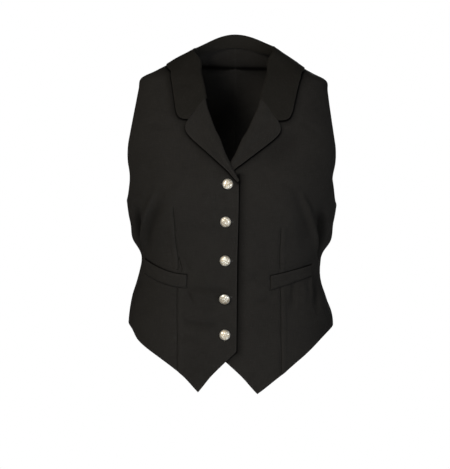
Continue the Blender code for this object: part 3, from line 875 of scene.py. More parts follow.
class Bench:
    """Blender's own modelling tools, used the way they are by hand."""

    @staticmethod
    def clear() -> None:
        """Deselects everything."""
        bpy.ops.object.select_all(action="DESELECT")

    @classmethod
    def take(cls, piece: bpy.types.Object) -> None:
        """Selects one object and makes it the active one.

        Args:
            piece: the object.
        """
        cls.clear()
        piece.select_set(True)
        bpy.context.view_layer.objects.active = piece

    @classmethod
    def added(cls, name: str) -> bpy.types.Object:
        """Names the object that an operator has just added, and its mesh.

        Args:
            name: its new name.

        Returns:
            The object.
        """
        piece = bpy.context.object
        piece.name = name
        piece.data.name = name
        return piece

    @classmethod
    def apply(cls, piece: bpy.types.Object) -> None:
        """Applies all modifiers of a piece.

        Args:
            piece: the object.
        """
        cls.take(piece)
        for modifier in list(piece.modifiers):
            bpy.ops.object.modifier_apply(modifier=modifier.name)

    @classmethod
    def round_edges(
        cls, piece: bpy.types.Object, width: float, angle: float = math.radians(30), segments: int = 2
    ) -> None:
        """Rounds the sharp edges of a piece, after the modifiers that it already has.

        Args:
            piece: the object.
            width: width of the rounding.
            angle: radians that an edge turns at least to be rounded.
            segments: how many facets the rounding has.
        """
        rim = piece.modifiers.new("Round edge", "BEVEL")
        rim.width = width
        rim.segments = segments
        rim.limit_method = "ANGLE"
        rim.angle_limit = angle
        cls.apply(piece)

    @classmethod
    def settle(cls, piece: bpy.types.Object) -> None:
        """Puts a piece's place, turn and size into its mesh."""
        cls.take(piece)
        bpy.ops.object.transform_apply(location=True, rotation=True, scale=True)

    @classmethod
    def join(cls, name: str, pieces: Sequence[bpy.types.Object]) -> bpy.types.Object:
        """Joins pieces into the first one.

        Args:
            name: the joined object's name.
            pieces: what is joined.

        Returns:
            The joined object.
        """
        cls.take(pieces[0])
        for piece in pieces[1:]:
            piece.select_set(True)
        bpy.ops.object.join()
        return cls.added(name)

    @classmethod
    def grid(cls, name: str, rows: Rows) -> bpy.types.Object:
        """Adds a grid and moves its corners onto rows of points.

        Args:
            name: the new object's name.
            rows: the points; they run so that a face's corners turn left seen from outside,
                or else all faces are turned over.

        Returns:
            The object.
        """
        cls.clear()
        columns, count = len(rows[0]) - 1, len(rows) - 1
        bpy.ops.mesh.primitive_grid_add(x_subdivisions=columns, y_subdivisions=count, size=1)
        piece = cls.added(name)
        piece.data.vertices.foreach_set("co", [value for row in rows for point in row for value in point])
        piece.data.update()
        return piece


@dataclass
class Sheet:
    """A piece of cloth: its points, where they lie on the flat cloth, and the seams and painted shade near
    them.
    """

    name: str
    rows: Rows
    flats: Rows
    hint: Vector
    wall: float = CLOTH_WALL
    offset: float = -1.0
    edge_round: float = 0.0006
    marks: list[Mark] = field(default_factory=list)
    edge_segments: int = 3
    edge_angle: float = math.radians(55)
    border_reach: float = 0.03

    def borders(self) -> list[float]:
        """Distance of each point from the nearest border of the piece, up to the reach.

        Returns:
            A distance for each point, row by row.
        """
        count, width = len(self.rows), len(self.rows[0])
        reach = [[self.border_reach] * width for _ in range(count)]
        lines = [[(v, u) for u in range(width)] for v in range(count)]
        lines += [[(v, u) for v in range(count)] for u in range(width)]
        for cells in [*lines, *(line[::-1] for line in lines)]:
            for (v, u), along in zip(cells, run_lengths([self.rows[v][u] for v, u in cells])):
                reach[v][u] = min(reach[v][u], along)
        return [value for row in reach for value in row]

    def build(self) -> bpy.types.Object:
        """Makes the sheet.

        Returns:
            A closed thin shell with a cloth map in metres and the attributes seam_and_shadow_across,
            seam_and_shadow_strength, painted_shade, pressed and border.
        """
        piece = Bench.grid(self.name, self.rows)
        mesh = piece.data
        middle = mesh.polygons[len(mesh.polygons) // 2]
        if middle.normal.dot(self.hint) < 0:
            mesh.flip_normals()
        flats = [flat for row in self.flats for flat in row]
        cloth = mesh.uv_layers[0]
        cloth.name = "cloth"
        corners = [0] * len(mesh.loops)
        mesh.loops.foreach_get("vertex_index", corners)
        cloth.data.foreach_set("uv", [value for corner in corners for value in flats[corner][:2]])
        marks = self.marks or [Mark()] * len(flats)
        # The first two attributes carry seam lines and painted shadow lines; the third carries painted shade
        # under edges and in crease hollows.
        for name, values in (
            ("seam_and_shadow_across", [mark.across for mark in marks]),
            ("seam_and_shadow_strength", [mark.strength for mark in marks]),
            ("painted_shade", [mark.shade for mark in marks]),
            ("pressed", [mark.pressed for mark in marks]),
            ("border", self.borders()),
        ):
            mesh.attributes.new(name, "FLOAT", "POINT").data.foreach_set("value", values)
        solid = piece.modifiers.new("Wall", "SOLIDIFY")
        solid.thickness = self.wall
        solid.offset = self.offset
        solid.use_even_offset = True
        Bench.round_edges(piece, self.edge_round, self.edge_angle, self.edge_segments)
        Bench.take(piece)
        bpy.ops.object.shade_smooth()
        return piece


@dataclass(frozen=True)
class Nodes:
    """A node tree with short ways to add nodes and join them."""

    tree: bpy.types.NodeTree

    def add(self, kind: str, **values: object) -> bpy.types.Node:
        """Adds a node and sets its properties.

        Args:
            kind: the node's type.
            values: its properties.

        Returns:
            The node.
        """
        node = self.tree.nodes.new(kind)
        for name, value in values.items():
            setattr(node, name, value)
        return node

    def put(self, socket: bpy.types.NodeSocket, value: object) -> None:
        """Joins a socket to another one, or gives it a value.

        Args:
            socket: the socket.
            value: another socket, or a plain value.
        """
        if isinstance(value, bpy.types.NodeSocket):
            self.tree.links.new(value, socket)
        else:
            socket.default_value = value

    def math(self, operation: str, *values: object) -> bpy.types.NodeSocket:
        """Adds a math node and returns its result.

        Args:
            operation: Blender's name of the operation.
            values: what goes into it.

        Returns:
            Its output.
        """
        node = self.add("ShaderNodeMath", operation=operation)
        for socket, value in zip(node.inputs, values):
            self.put(socket, value)
        return node.outputs[0]

    def attribute(self, name: str) -> bpy.types.NodeSocket:
        """Value of a mesh attribute."""
        return self.add("ShaderNodeAttribute", attribute_name=name).outputs["Fac"]

    def weighted(self, *parts: tuple[bpy.types.NodeSocket, float]) -> bpy.types.NodeSocket:
        """Sum of values, each with its weight.

        Args:
            parts: pairs of a value and its weight.

        Returns:
            The sum.
        """
        (first, weight), *others = parts
        total = self.math("MULTIPLY", first, weight)
        for value, weight in others:
            total = self.math("ADD", total, self.math("MULTIPLY", value, weight))
        return total

    def bump(self, height: object, distance: float, strength: float = 1.0) -> bpy.types.Node:
        """Adds a bump node over a height, with its distance in metres."""
        return self.fill(self.add("ShaderNodeBump"), Strength=strength, Distance=distance, Height=height)

    def blur_step(
        self, value: object, low: float, high: float, start: object, end: object
    ) -> bpy.types.NodeSocket:
        """Smooth change from start to end as a value goes from low to high.

        Args:
            value: the value.
            low: where the change starts.
            high: where it ends.
            start: what comes out at the start.
            end: what comes out at the end.

        Returns:
            The output.
        """
        node = self.add("ShaderNodeMapRange", interpolation_type="SMOOTHSTEP")
        for socket, setting in zip(node.inputs, (value, low, high, start, end)):
            self.put(socket, setting)
        return node.outputs[0]

    def noise(
        self, vector: object, scale: float, detail: float = 2.0, rough: float = 0.5
    ) -> bpy.types.NodeSocket:
        """Adds a noise texture and returns its value at a place."""
        node = self.add("ShaderNodeTexNoise")
        return self.fill(node, Vector=vector, Scale=scale, Detail=detail, Roughness=rough).outputs[0]

    def stretch(self, vector: object, scale: tuple[float, float, float]) -> bpy.types.NodeSocket:
        """Stretches a place by a scale on each axis."""
        return self.fill(self.add("ShaderNodeMapping"), Vector=vector, Scale=scale).outputs[0]

    def blend(
        self, factor: object, first: object, second: object, mode: str = "MIX"
    ) -> bpy.types.NodeSocket:
        """Mixes two colours.

        Args:
            factor: share of the second colour.
            first: the first colour.
            second: the second colour.
            mode: how they are mixed.

        Returns:
            The mixed colour.
        """
        node = self.add("ShaderNodeMix", data_type="RGBA", blend_type=mode)
        colours = [socket for socket in node.inputs if socket.type == "RGBA"]
        self.put(node.inputs[0], factor)
        self.put(colours[0], first)
        self.put(colours[1], second)
        return [socket for socket in node.outputs if socket.type == "RGBA"][0]

    def fill(self, node: bpy.types.Node, **values: object) -> bpy.types.Node:
        """Joins several inputs of a node, or gives them values.

        Args:
            node: the node.
            values: its inputs, with _ for a space.

        Returns:
            The node.
        """
        for name, value in values.items():
            self.put(node.inputs[name.replace("_", " ")], value)
        return node

    def group(self, tree: bpy.types.NodeTree, **values: object) -> bpy.types.Node:
        """Places a node group, with values for its inputs."""
        return self.fill(self.add("ShaderNodeGroup", node_tree=tree), **values)


def new_material(name: str) -> tuple[bpy.types.Material, Nodes, bpy.types.Node]:
    """Starts a material: the material, its nodes and its shader.

    Args:
        name: the material's name.

    Returns:
        The material, its nodes and its shader.
    """
    made = bpy.data.materials.new(name)
    made.use_nodes = True
    return made, Nodes(made.node_tree), made.node_tree.nodes["Principled BSDF"]


def new_group(
    name: str, inputs: Sequence[tuple[str, str]], outputs: Sequence[str]
) -> tuple[bpy.types.NodeTree, Nodes, bpy.types.Node, bpy.types.Node]:
    """Starts a shader node group.

    Args:
        name: the group's name.
        inputs: names and socket types of its inputs.
        outputs: names of its outputs, all of them numbers.

    Returns:
        The group, its nodes, its input node and its output node.
    """
    tree = bpy.data.node_groups.new(name, "ShaderNodeTree")
    for label, kind in inputs:
        tree.interface.new_socket(label, in_out="INPUT", socket_type=kind)
    for label in outputs:
        tree.interface.new_socket(label, in_out="OUTPUT", socket_type="NodeSocketFloat")
    nodes = Nodes(tree)
    return tree, nodes, nodes.add("NodeGroupInput"), nodes.add("NodeGroupOutput")


WANDER_SCALE, WANDER = 260.0, 0.00016
CROWN_POWER = 0.55
SLUB_ACROSS, SLUB_ALONG = 1500.0, 60.0


def weave_group() -> bpy.types.NodeTree:
    """Plain canvas weave over a cloth map in metres.

    Returns:
        A group with the outputs Height and Thread, which is each thread's own shade.
    """
    inputs = (("Cloth", "NodeSocketVector"), ("Threads", "NodeSocketFloat"), ("Slub", "NodeSocketFloat"))
    tree, nodes, given, made = new_group("canvas_weave", inputs, ("Height", "Thread"))
    wander = nodes.add("ShaderNodeTexNoise")
    nodes.fill(wander, Vector=given.outputs["Cloth"], Scale=WANDER_SCALE)
    shift = nodes.add("ShaderNodeVectorMath", operation="MULTIPLY_ADD")
    nodes.put(shift.inputs[0], wander.outputs["Color"])
    shift.inputs[1].default_value = (WANDER, WANDER, 0.0)
    nodes.put(shift.inputs[2], given.outputs["Cloth"])
    parts = nodes.add("ShaderNodeSeparateXYZ")
    nodes.put(parts.inputs[0], shift.outputs[0])
    turns = nodes.math("MULTIPLY", given.outputs["Threads"], math.pi)
    warp = nodes.math("SINE", nodes.math("MULTIPLY", parts.outputs[0], turns))
    weft = nodes.math("SINE", nodes.math("MULTIPLY", parts.outputs[1], turns))
    both = nodes.math("MULTIPLY", warp, weft)
    crown = nodes.math("POWER", nodes.math("ABSOLUTE", both), CROWN_POWER)
    along = nodes.noise(nodes.stretch(given.outputs["Cloth"], (SLUB_ACROSS, SLUB_ALONG, 1.0)), 1.0, 1.0)
    across = nodes.noise(nodes.stretch(given.outputs["Cloth"], (SLUB_ALONG, SLUB_ACROSS, 1.0)), 1.0, 1.0)
    thread = nodes.weighted((along, 0.5), (across, 0.5))
    slub = nodes.math("MULTIPLY", nodes.math("SUBTRACT", thread, 0.5), given.outputs["Slub"])
    nodes.fill(made, Height=nodes.math("ADD", crown, slub), Thread=thread)
    return tree


RIM_START, RIM_END = 0.0004, 0.0035
LEDGE_START, LEDGE_END = 0.85, 1.15


def seam_and_shadow_group() -> bpy.types.NodeTree:
    """Narrow lines of sewn seams and painted shadow lines along overlying edges, painted shade, and the worn
    border of a piece.

    Returns:
        A group with the outputs Line, Lit (1 less the painted shade under overlying edges and in crease
        hollows),
        Pressed, Border (1 at the rim) and Ledge (1 over the turned-in allowance behind the border).
    """
    inputs = (("Turning", "NodeSocketFloat"),)
    outputs = ("Line", "Lit", "Pressed", "Border", "Ledge")
    tree, nodes, given, made = new_group("seams_shadows_and_edges", inputs, outputs)
    names = ("seam_and_shadow_across", "seam_and_shadow_strength", "border", "painted_shade", "pressed")
    across, strength, border, shade, pressed = (nodes.attribute(name) for name in names)
    line = nodes.blur_step(nodes.math("ABSOLUTE", across), 0.0, 1.0, 1.0, 0.0)
    inside = nodes.math("DIVIDE", border, given.outputs["Turning"])
    # Line darkens seams and paints shadow lines; Lit takes away the painted shade.
    nodes.fill(
        made,
        Line=nodes.math("MULTIPLY", line, strength),
        Lit=nodes.math("SUBTRACT", 1.0, shade),
        Pressed=pressed,
        Border=nodes.blur_step(border, RIM_START, RIM_END, 1.0, 0.0),
        Ledge=nodes.blur_step(inside, LEDGE_START, LEDGE_END, 1.0, 0.0),
    )
    return tree


SPECK_SCALE, SPECK_SQUASH = 900.0, 0.45
SPECK_START, SPECK_FULL = 0.74, 0.80
RUB_SCALE, RUB_DETAIL, RUB_ROUGH = 14.0, 3.0, 0.6


def lint_group() -> bpy.types.NodeTree:
    """Fine lint and handling marks on dark cloth, over Object coordinates.

    Returns:
        A group with the outputs Lint and Rub.
    """
    inputs = (("Place", "NodeSocketVector"), ("Amount", "NodeSocketFloat"))
    tree, nodes, given, made = new_group("lint_and_rub", inputs, ("Lint", "Rub"))
    specks = nodes.noise(nodes.stretch(given.outputs["Place"], (1.0, 1.0, SPECK_SQUASH)), SPECK_SCALE, 0.0)
    lint = nodes.blur_step(specks, SPECK_START, SPECK_FULL, 0.0, 1.0)
    lint = nodes.math("MULTIPLY", lint, given.outputs["Amount"])
    nodes.fill(made, Lint=lint, Rub=nodes.noise(given.outputs["Place"], RUB_SCALE, RUB_DETAIL, RUB_ROUGH))
    return tree


@dataclass(frozen=True)
class Canvas:
    """Matt black cotton canvas in a plain weave; its darker copy on the collar, which is cut on the cross,
    is painted shade.
    """

    name: str = "black_canvas_cloth"
    dark: Colour = (0.0098, 0.0093, 0.0090, 1.0)
    light: Colour = (0.0215, 0.0202, 0.0190, 1.0)
    lint: Colour = (0.036, 0.035, 0.033, 1.0)
    threads: float = 1650.0
    slub: float = 0.9
    turning: float = 0.0085
    lint_amount: float = 0.35
    thread_shade: float = 0.55
    weave_shade: float = 0.30
    rub_shade: float = 0.42
    rim_shade: float = 0.10
    pressed_shade: float = 0.05
    shade_low: float = 0.15
    shade_high: float = 0.95
    roughness: float = 0.87
    rim_roughness: float = -0.10
    rub_roughness: float = 0.10
    specular: float = 0.04
    weave_depth: float = 0.00010
    weave_strength: float = 0.8
    seam_depth: float = 0.0005
    ledge_height: float = 0.35
    pressed_height: float = 0.5

    def build(
        self, weave: bpy.types.NodeTree, seams: bpy.types.NodeTree, lint: bpy.types.NodeTree
    ) -> bpy.types.Material:
        """Makes the material.

        Args:
            weave: the weave's node group.
            seams: the node group of seam lines, painted shadow lines, painted shade and edges.
            lint: the node group of lint and rubbing.

        Returns:
            The material.
        """
        made, nodes, shader = new_material(self.name)
        shader.inputs["Specular IOR Level"].default_value = self.specular
        cloth_map = nodes.add("ShaderNodeUVMap", uv_map="cloth")
        place = nodes.add("ShaderNodeTexCoord").outputs["Object"]
        woven = nodes.group(weave, Cloth=cloth_map.outputs[0], Threads=self.threads, Slub=self.slub)
        sewn = nodes.group(seams, Turning=self.turning)
        worn = nodes.group(lint, Place=place, Amount=self.lint_amount)
        shade = nodes.weighted(
            (woven.outputs["Thread"], self.thread_shade),
            (woven.outputs["Height"], self.weave_shade),
            (worn.outputs["Rub"], self.rub_shade),
            (sewn.outputs["Border"], self.rim_shade),
            (sewn.outputs["Pressed"], self.pressed_shade),
        )
        shade = nodes.blur_step(shade, self.shade_low, self.shade_high, 0.0, 1.0)
        colour = nodes.blend(worn.outputs["Lint"], nodes.blend(shade, self.dark, self.light), self.lint)
        # dim darkens the colour along seams, and paints shadow lines and soft shade under overlying edges
        # and in crease hollows.
        dim = nodes.math("MULTIPLY", nodes.math("SUBTRACT", 1.0, sewn.outputs["Line"]), sewn.outputs["Lit"])
        grey = nodes.add("ShaderNodeCombineColor")
        for socket in grey.inputs[:3]:
            nodes.put(socket, dim)
        nodes.put(shader.inputs["Base Color"], nodes.blend(1.0, colour, grey.outputs[0], "MULTIPLY"))
        rough = nodes.weighted(
            (sewn.outputs["Border"], self.rim_roughness), (worn.outputs["Rub"], self.rub_roughness)
        )
        nodes.put(shader.inputs["Roughness"], nodes.math("ADD", rough, self.roughness))
        ledge = nodes.weighted(
            (sewn.outputs["Ledge"], self.ledge_height), (sewn.outputs["Pressed"], self.pressed_height)
        )
        coarse = nodes.bump(nodes.math("SUBTRACT", ledge, sewn.outputs["Line"]), self.seam_depth)
        fine = nodes.bump(woven.outputs["Height"], self.weave_depth, self.weave_strength)
        nodes.put(fine.inputs["Normal"], coarse.outputs[0])
        nodes.put(shader.inputs["Normal"], fine.outputs[0])
        return made


@dataclass(frozen=True)
class Thread:
    """Black buttonhole thread, a little glossier than the cloth."""

    colour: Colour = (0.011, 0.0105, 0.011, 1.0)
    high: Colour = (0.030, 0.029, 0.029, 1.0)
    roughness: float = 0.55
    dull: float = 0.75
    sheen: float = 0.1
    ply_scale: tuple[float, float, float] = (2600.0, 2600.0, 900.0)
    ply_depth: float = 0.0001
    ply_low: float = 0.2
    ply_high: float = 0.8

    def build(self) -> bpy.types.Material:
        """Makes the material.

        Returns:
            The material.
        """
        made, nodes, shader = new_material("black_thread")
        shader.inputs["Sheen Weight"].default_value = self.sheen
        place = nodes.add("ShaderNodeTexCoord").outputs["Object"]
        ply = nodes.noise(nodes.stretch(place, self.ply_scale), 1.0, 1.0)
        nodes.fill(
            shader,
            Base_Color=nodes.blend(ply, self.colour, self.high),
            Roughness=nodes.blur_step(ply, self.ply_low, self.ply_high, self.roughness, self.dull),
            Normal=nodes.bump(ply, self.ply_depth).outputs[0],
        )
        return made


@dataclass(frozen=True)
class OldSilver:
    """Antique silver: bright where it is rubbed, with brown tarnish in its hollows."""

    bright: Colour = (0.93, 0.92, 0.86, 1.0)
    tarnish: Colour = (0.50, 0.44, 0.35, 1.0)
    roughness: float = 0.48
    dull: float = 0.62
    blotch_scale: float = 260.0
    soil_start: float = 0.35
    soil_full: float = 0.85
    grain_scale: float = 900.0
    grain_depth: float = 0.00008
    detail: float = 3.0
    rough: float = 0.6

    def build(self) -> bpy.types.Material:
        """Makes the material.

        Returns:
            The material.
        """
        made, nodes, shader = new_material("old_silver_metal")
        shader.inputs["Metallic"].default_value = 1.0
        place = nodes.add("ShaderNodeTexCoord").outputs["Object"]
        blotch = nodes.math("SUBTRACT", nodes.noise(place, self.blotch_scale, self.detail, self.rough), 0.5)
        soil = nodes.math("ADD", nodes.attribute("hollow"), nodes.math("MULTIPLY", blotch, 0.5))
        soil = nodes.blur_step(soil, self.soil_start, self.soil_full, 0.0, 1.0)
        grain = nodes.noise(place, self.grain_scale, self.detail, self.rough)
        nodes.fill(
            shader,
            Base_Color=nodes.blend(soil, self.bright, self.tarnish),
            Roughness=nodes.blur_step(soil, 0.0, 1.0, self.roughness, self.dull),
            Normal=nodes.bump(grain, self.grain_depth).outputs[0],
        )
        return made


@dataclass(frozen=True)
class Finishes:
    """The materials of the vest."""

    canvas: bpy.types.Material
    crosswise: bpy.types.Material
    thread: bpy.types.Material
    silver: bpy.types.Material

    @classmethod
    def build(cls) -> "Finishes":
        """Makes all of them, with the node groups that they share.

        Returns:
            The materials.
        """
        shared = weave_group(), seam_and_shadow_group(), lint_group()
        # Painted shade: a darker copy of the canvas for the collar.
        crosswise = Canvas(
            name="black_canvas_crosswise",
            dark=(0.0072, 0.0068, 0.0061, 1.0),
            light=(0.0160, 0.0149, 0.0133, 1.0),
        )
        return cls(
            Canvas().build(*shared),
            crosswise.build(*shared),
            Thread().build(),
            OldSilver().build(),
        )


def dress(piece: bpy.types.Object, finish: bpy.types.Material, slot: str, *nodes: str) -> None:
    """Gives a piece its material and its body, and hides the CAD nodes that it stands for.

    Args:
        piece: the piece.
        finish: its material.
        slot: not used.
        nodes: CAD nodes that it replaces.
    """
    piece.data.materials.clear()
    piece.data.materials.append(finish)
    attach(piece, "root")
    if nodes:
        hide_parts(*nodes)


class ClothPiece:
    """A piece of cloth. Each kind says its name, its sheet and how it is held."""

    kind: ClassVar[str]
    hold: ClassVar[Hold] = Hold.HUNG
    # True for a piece that takes the darker copy of the canvas, which paints shade on it.
    crosswise: ClassVar[bool] = False
    cut: FrontCut
    size: Cut

    @property
    def node(self) -> str:
        """The CAD node that it stands for."""
        return f"{self.kind}_{self.cut.side.label}"

    @property
    def rests_on(self) -> list[str]:
        """The pieces that it lies on: a hung piece lies on none."""
        return [] if self.hold is Hold.HUNG else [f"front_{self.cut.side.label}_cloth"]

    def sheet(self) -> Sheet:
        """Its sheet."""
        raise NotImplementedError

    def build(self, finishes: Finishes) -> bpy.types.Object:
        """Makes the piece.

        Args:
            finishes: the vest's materials.

        Returns:
            The piece.
        """
        piece, size, under = self.sheet().build(), self.size, list(self.rests_on)
        dress(piece, finishes.crosswise if self.crosswise else finishes.canvas, "black_canvas", self.node)
        return piece


@dataclass
class FrontPanel(ClothPiece):
    """One front, from the hem with its point up to the shoulder, with its dart."""

    kind: ClassVar[str] = "front"
    cut: FrontCut
    darts: tuple[SurfaceLine, ...]
    welt: "PocketWelt"
    size: Cut
    columns: int = 104
    edge_rows: int = 110
    neck_rows: int = 92
    over_across: float = 0.0150
    over_heights: tuple[float, ...] = (-0.5000, -0.4400, -0.3600, -0.2900, -0.2100)
    over_corner: tuple[Seen, ...] = (Seen(-0.0080, -0.5215), Seen(0.0040, -0.5100), Seen(0.0150, -0.5005))

    def lines(self) -> list[SurfaceLine]:
        """All lines of this front: darts, the welt's seams, and the painted shadows in the pocket's mouth
        and under the edges that lie over it.

        Returns:
            The lines.
        """
        cut, figure = self.cut, self.cut.figure
        collar = [*cut.places_of(cut.collar_edge), Vector((SIDE_ANGLE, cut.collar_level))]
        lines = [*self.darts, self.welt.mouth(), *self.welt.seams()]
        lines.append(SurfaceLine(cut.lapel_places(), UNDER_LAPEL))
        lines.append(SurfaceLine(collar, UNDER_COLLAR))
        if cut.side is Side.LEFT:
            over = [figure.place_seen(Seen(self.over_across, height)) for height in self.over_heights]
            lines.append(SurfaceLine(over, UNDER_FRONT))
            lines.append(SurfaceLine(figure.seen_places(self.over_corner), UNDER_CORNER))
        return lines

    def sheet(self) -> Sheet:
        """Lays the cloth on the figure, with its lines and its painted shade.

        Returns:
            The sheet.
        """
        figure, sign = self.cut.figure, self.cut.side.value
        work = LineWork(figure, self.lines())
        rows, flats, marks = [], [], []
        for row in self.cut.panel_places(self.columns, self.edge_rows, self.neck_rows):
            found = [work.at(figure.flat(*place)) for place in row]
            rows.append([self.cut.on(place, out) for place, (out, _) in zip(row, found)])
            flats.append([figure.flat(sign * place.x, place.y) for place in row])
            marks += [figure.hollowed(mark, sign * place.x, place.y) for place, (_, mark) in zip(row, found)]
        return Sheet(f"{self.node}_cloth", rows, flats, Vector((0, -1, 0)), marks=marks)


@dataclass
class BackPanel(ClothPiece):
    """One half of the back, from the hem up to the shoulder and the neck."""

    kind: ClassVar[str] = "back"
    cut: FrontCut
    collar: "Collar"
    size: Cut = Cut(0.225, 0.500, 0.0940)
    hem_height: float = -0.4630
    columns: int = 84
    side_rows: int = 80
    armhole_rows: int = 84
    shoulder_rows: int = 24
    armhole: tuple[Turn, ...] = (
        Turn(98.5, -0.2460), Turn(104.5, -0.2200), Turn(108.5, -0.1900), Turn(110.5, -0.1600),
        Turn(110.5, -0.1300), Turn(108.0, -0.1000), Turn(103.5, -0.0750), Turn(98.5, -0.0570),
    )

    @property
    def figure(self) -> Figure:
        """The figure that it lies on."""
        return self.cut.figure

    def places(self) -> Rows:
        """Places of the cloth, row by row from the hem, from the centre back out.

        Returns:
            The rows.
        """
        figure = self.figure
        side_hem = Vector((SIDE_ANGLE, figure.level_at(self.cut.side_hem_height)))
        underarm = Vector((SIDE_ANGLE, figure.level_at(self.cut.underarm_height)))
        tip = Vector((SIDE_ANGLE, figure.tip_level))
        neck = Vector((SIDE_ANGLE, figure.neck_level))
        low_centre = Vector((CENTRE_BACK, figure.level_at(self.hem_height)))
        blade = Vector((CENTRE_BACK, underarm.y))
        top_centre = Vector((CENTRE_BACK, figure.neck_level))
        armhole = run_through([underarm, *figure.turned_places(self.armhole), tip])
        hem = figure.spaced(run_through([low_centre, side_hem]), self.columns)
        neckline = figure.spaced(run_through([top_centre, neck]), self.columns)
        start = figure.spaced(run_through([low_centre, blade]), self.side_rows)
        start += figure.spaced(run_through([blade, top_centre]), self.armhole_rows + self.shoulder_rows)[1:]
        end = figure.spaced(run_through([side_hem, underarm]), self.side_rows)
        end += figure.spaced(armhole, self.armhole_rows)[1:]
        end += figure.spaced(run_through([tip, neck]), self.shoulder_rows)[1:]
        return patch(hem, neckline, start, end)

    def sheet(self) -> Sheet:
        """Lays the cloth on the figure, with the painted shade under the collar and in the crease hollows.

        Returns:
            The sheet.
        """
        sign = self.cut.side.value
        places = self.places()
        rows = [[self.figure.cloth(sign * place.x, place.y) for place in row] for row in places]
        flats = [[self.figure.flat(sign * place.x, place.y) for place in row] for row in places]
        work = LineWork(self.figure, [SurfaceLine(self.collar.back_edge(self.cut), UNDER_BACK_COLLAR)])
        marks = []
        for place in (place for row in places for place in row):
            mark = work.at(self.figure.flat(*place))[1]
            marks.append(self.figure.hollowed(mark, sign * place.x, place.y))
        return Sheet(f"{self.node}_cloth", rows, flats, Vector((0, 1, 0)), marks=marks)


@dataclass
class Lapel(ClothPiece):
    """One lapel: it comes round the front's edge in a soft roll and lies on the front."""

    kind: ClassVar[str] = "lapel"
    hold: ClassVar[Hold] = Hold.FOLDED
    cut: FrontCut
    size: Cut
    wall: float = 0.0021
    gap: float = 0.0007
    spring: float = 0.0012
    edge_stand: float = 0.0014
    tuck_in: float = 0.0045
    edge_round: float = 0.0009
    foot_turn: float = 0.35
    full_from: float = 0.16
    spring_end: float = 1.6
    stand_from: float = 0.55
    rows_up: int = 84
    fold_points: int = 9
    across: int = 26

    def sheet(self) -> Sheet:
        """Rolls the cloth round the front's edge and out over the front.

        Returns:
            The sheet.
        """
        cut, figure = self.cut, self.cut.figure
        outer = run_through(cut.lapel_places())
        inner = figure.spaced(cut.roll_parts()[0], self.rows_up)
        radius = (CLOTH_WALL + self.wall) / 2 + self.gap
        rows, flats = [], []
        for index, (roll, edge) in enumerate(zip(inner, figure.spaced(outer, self.rows_up))):
            along = index / self.rows_up
            normal = cut.normal(roll)
            base = cut.on(roll)
            away = cut.on(edge) - base
            away -= normal * away.dot(normal)
            away.normalize()
            full = ease(along / self.full_from)
            turn = radius * (self.foot_turn + (1 - self.foot_turn) * full)
            centre = base + away * turn - normal * (turn - self.gap - self.wall / 2)
            row = [centre - normal * turn + away * self.tuck_in * full]
            for step in range(self.fold_points):
                angle = math.pi * step / (self.fold_points - 1)
                row.append(centre - normal * turn * math.cos(angle) - away * turn * math.sin(angle))
            width = (cut.on(edge) - base).length
            for step in range(1, self.across + 1):
                share = turn / max(width, 2 * turn)
                share += (1 - share) * step / self.across
                spring = self.spring * full * math.sin(math.pi * min(share * self.spring_end, 1.0)) ** 2
                stand = self.edge_stand * ease((share - self.stand_from) / (1 - self.stand_from)) * full
                out = self.gap + self.wall / 2 + spring + stand
                row.append(cut.on(roll.lerp(edge, share), out))
            rows.append(row)
            up = figure.flat(*roll).y
            flats.append([Vector((around, up)) for around in run_lengths(row)])
        name, hint = f"{self.node}_cloth", Vector((0, -1, 0))
        return Sheet(name, rows, flats, hint, self.wall, 0.0, self.edge_round)


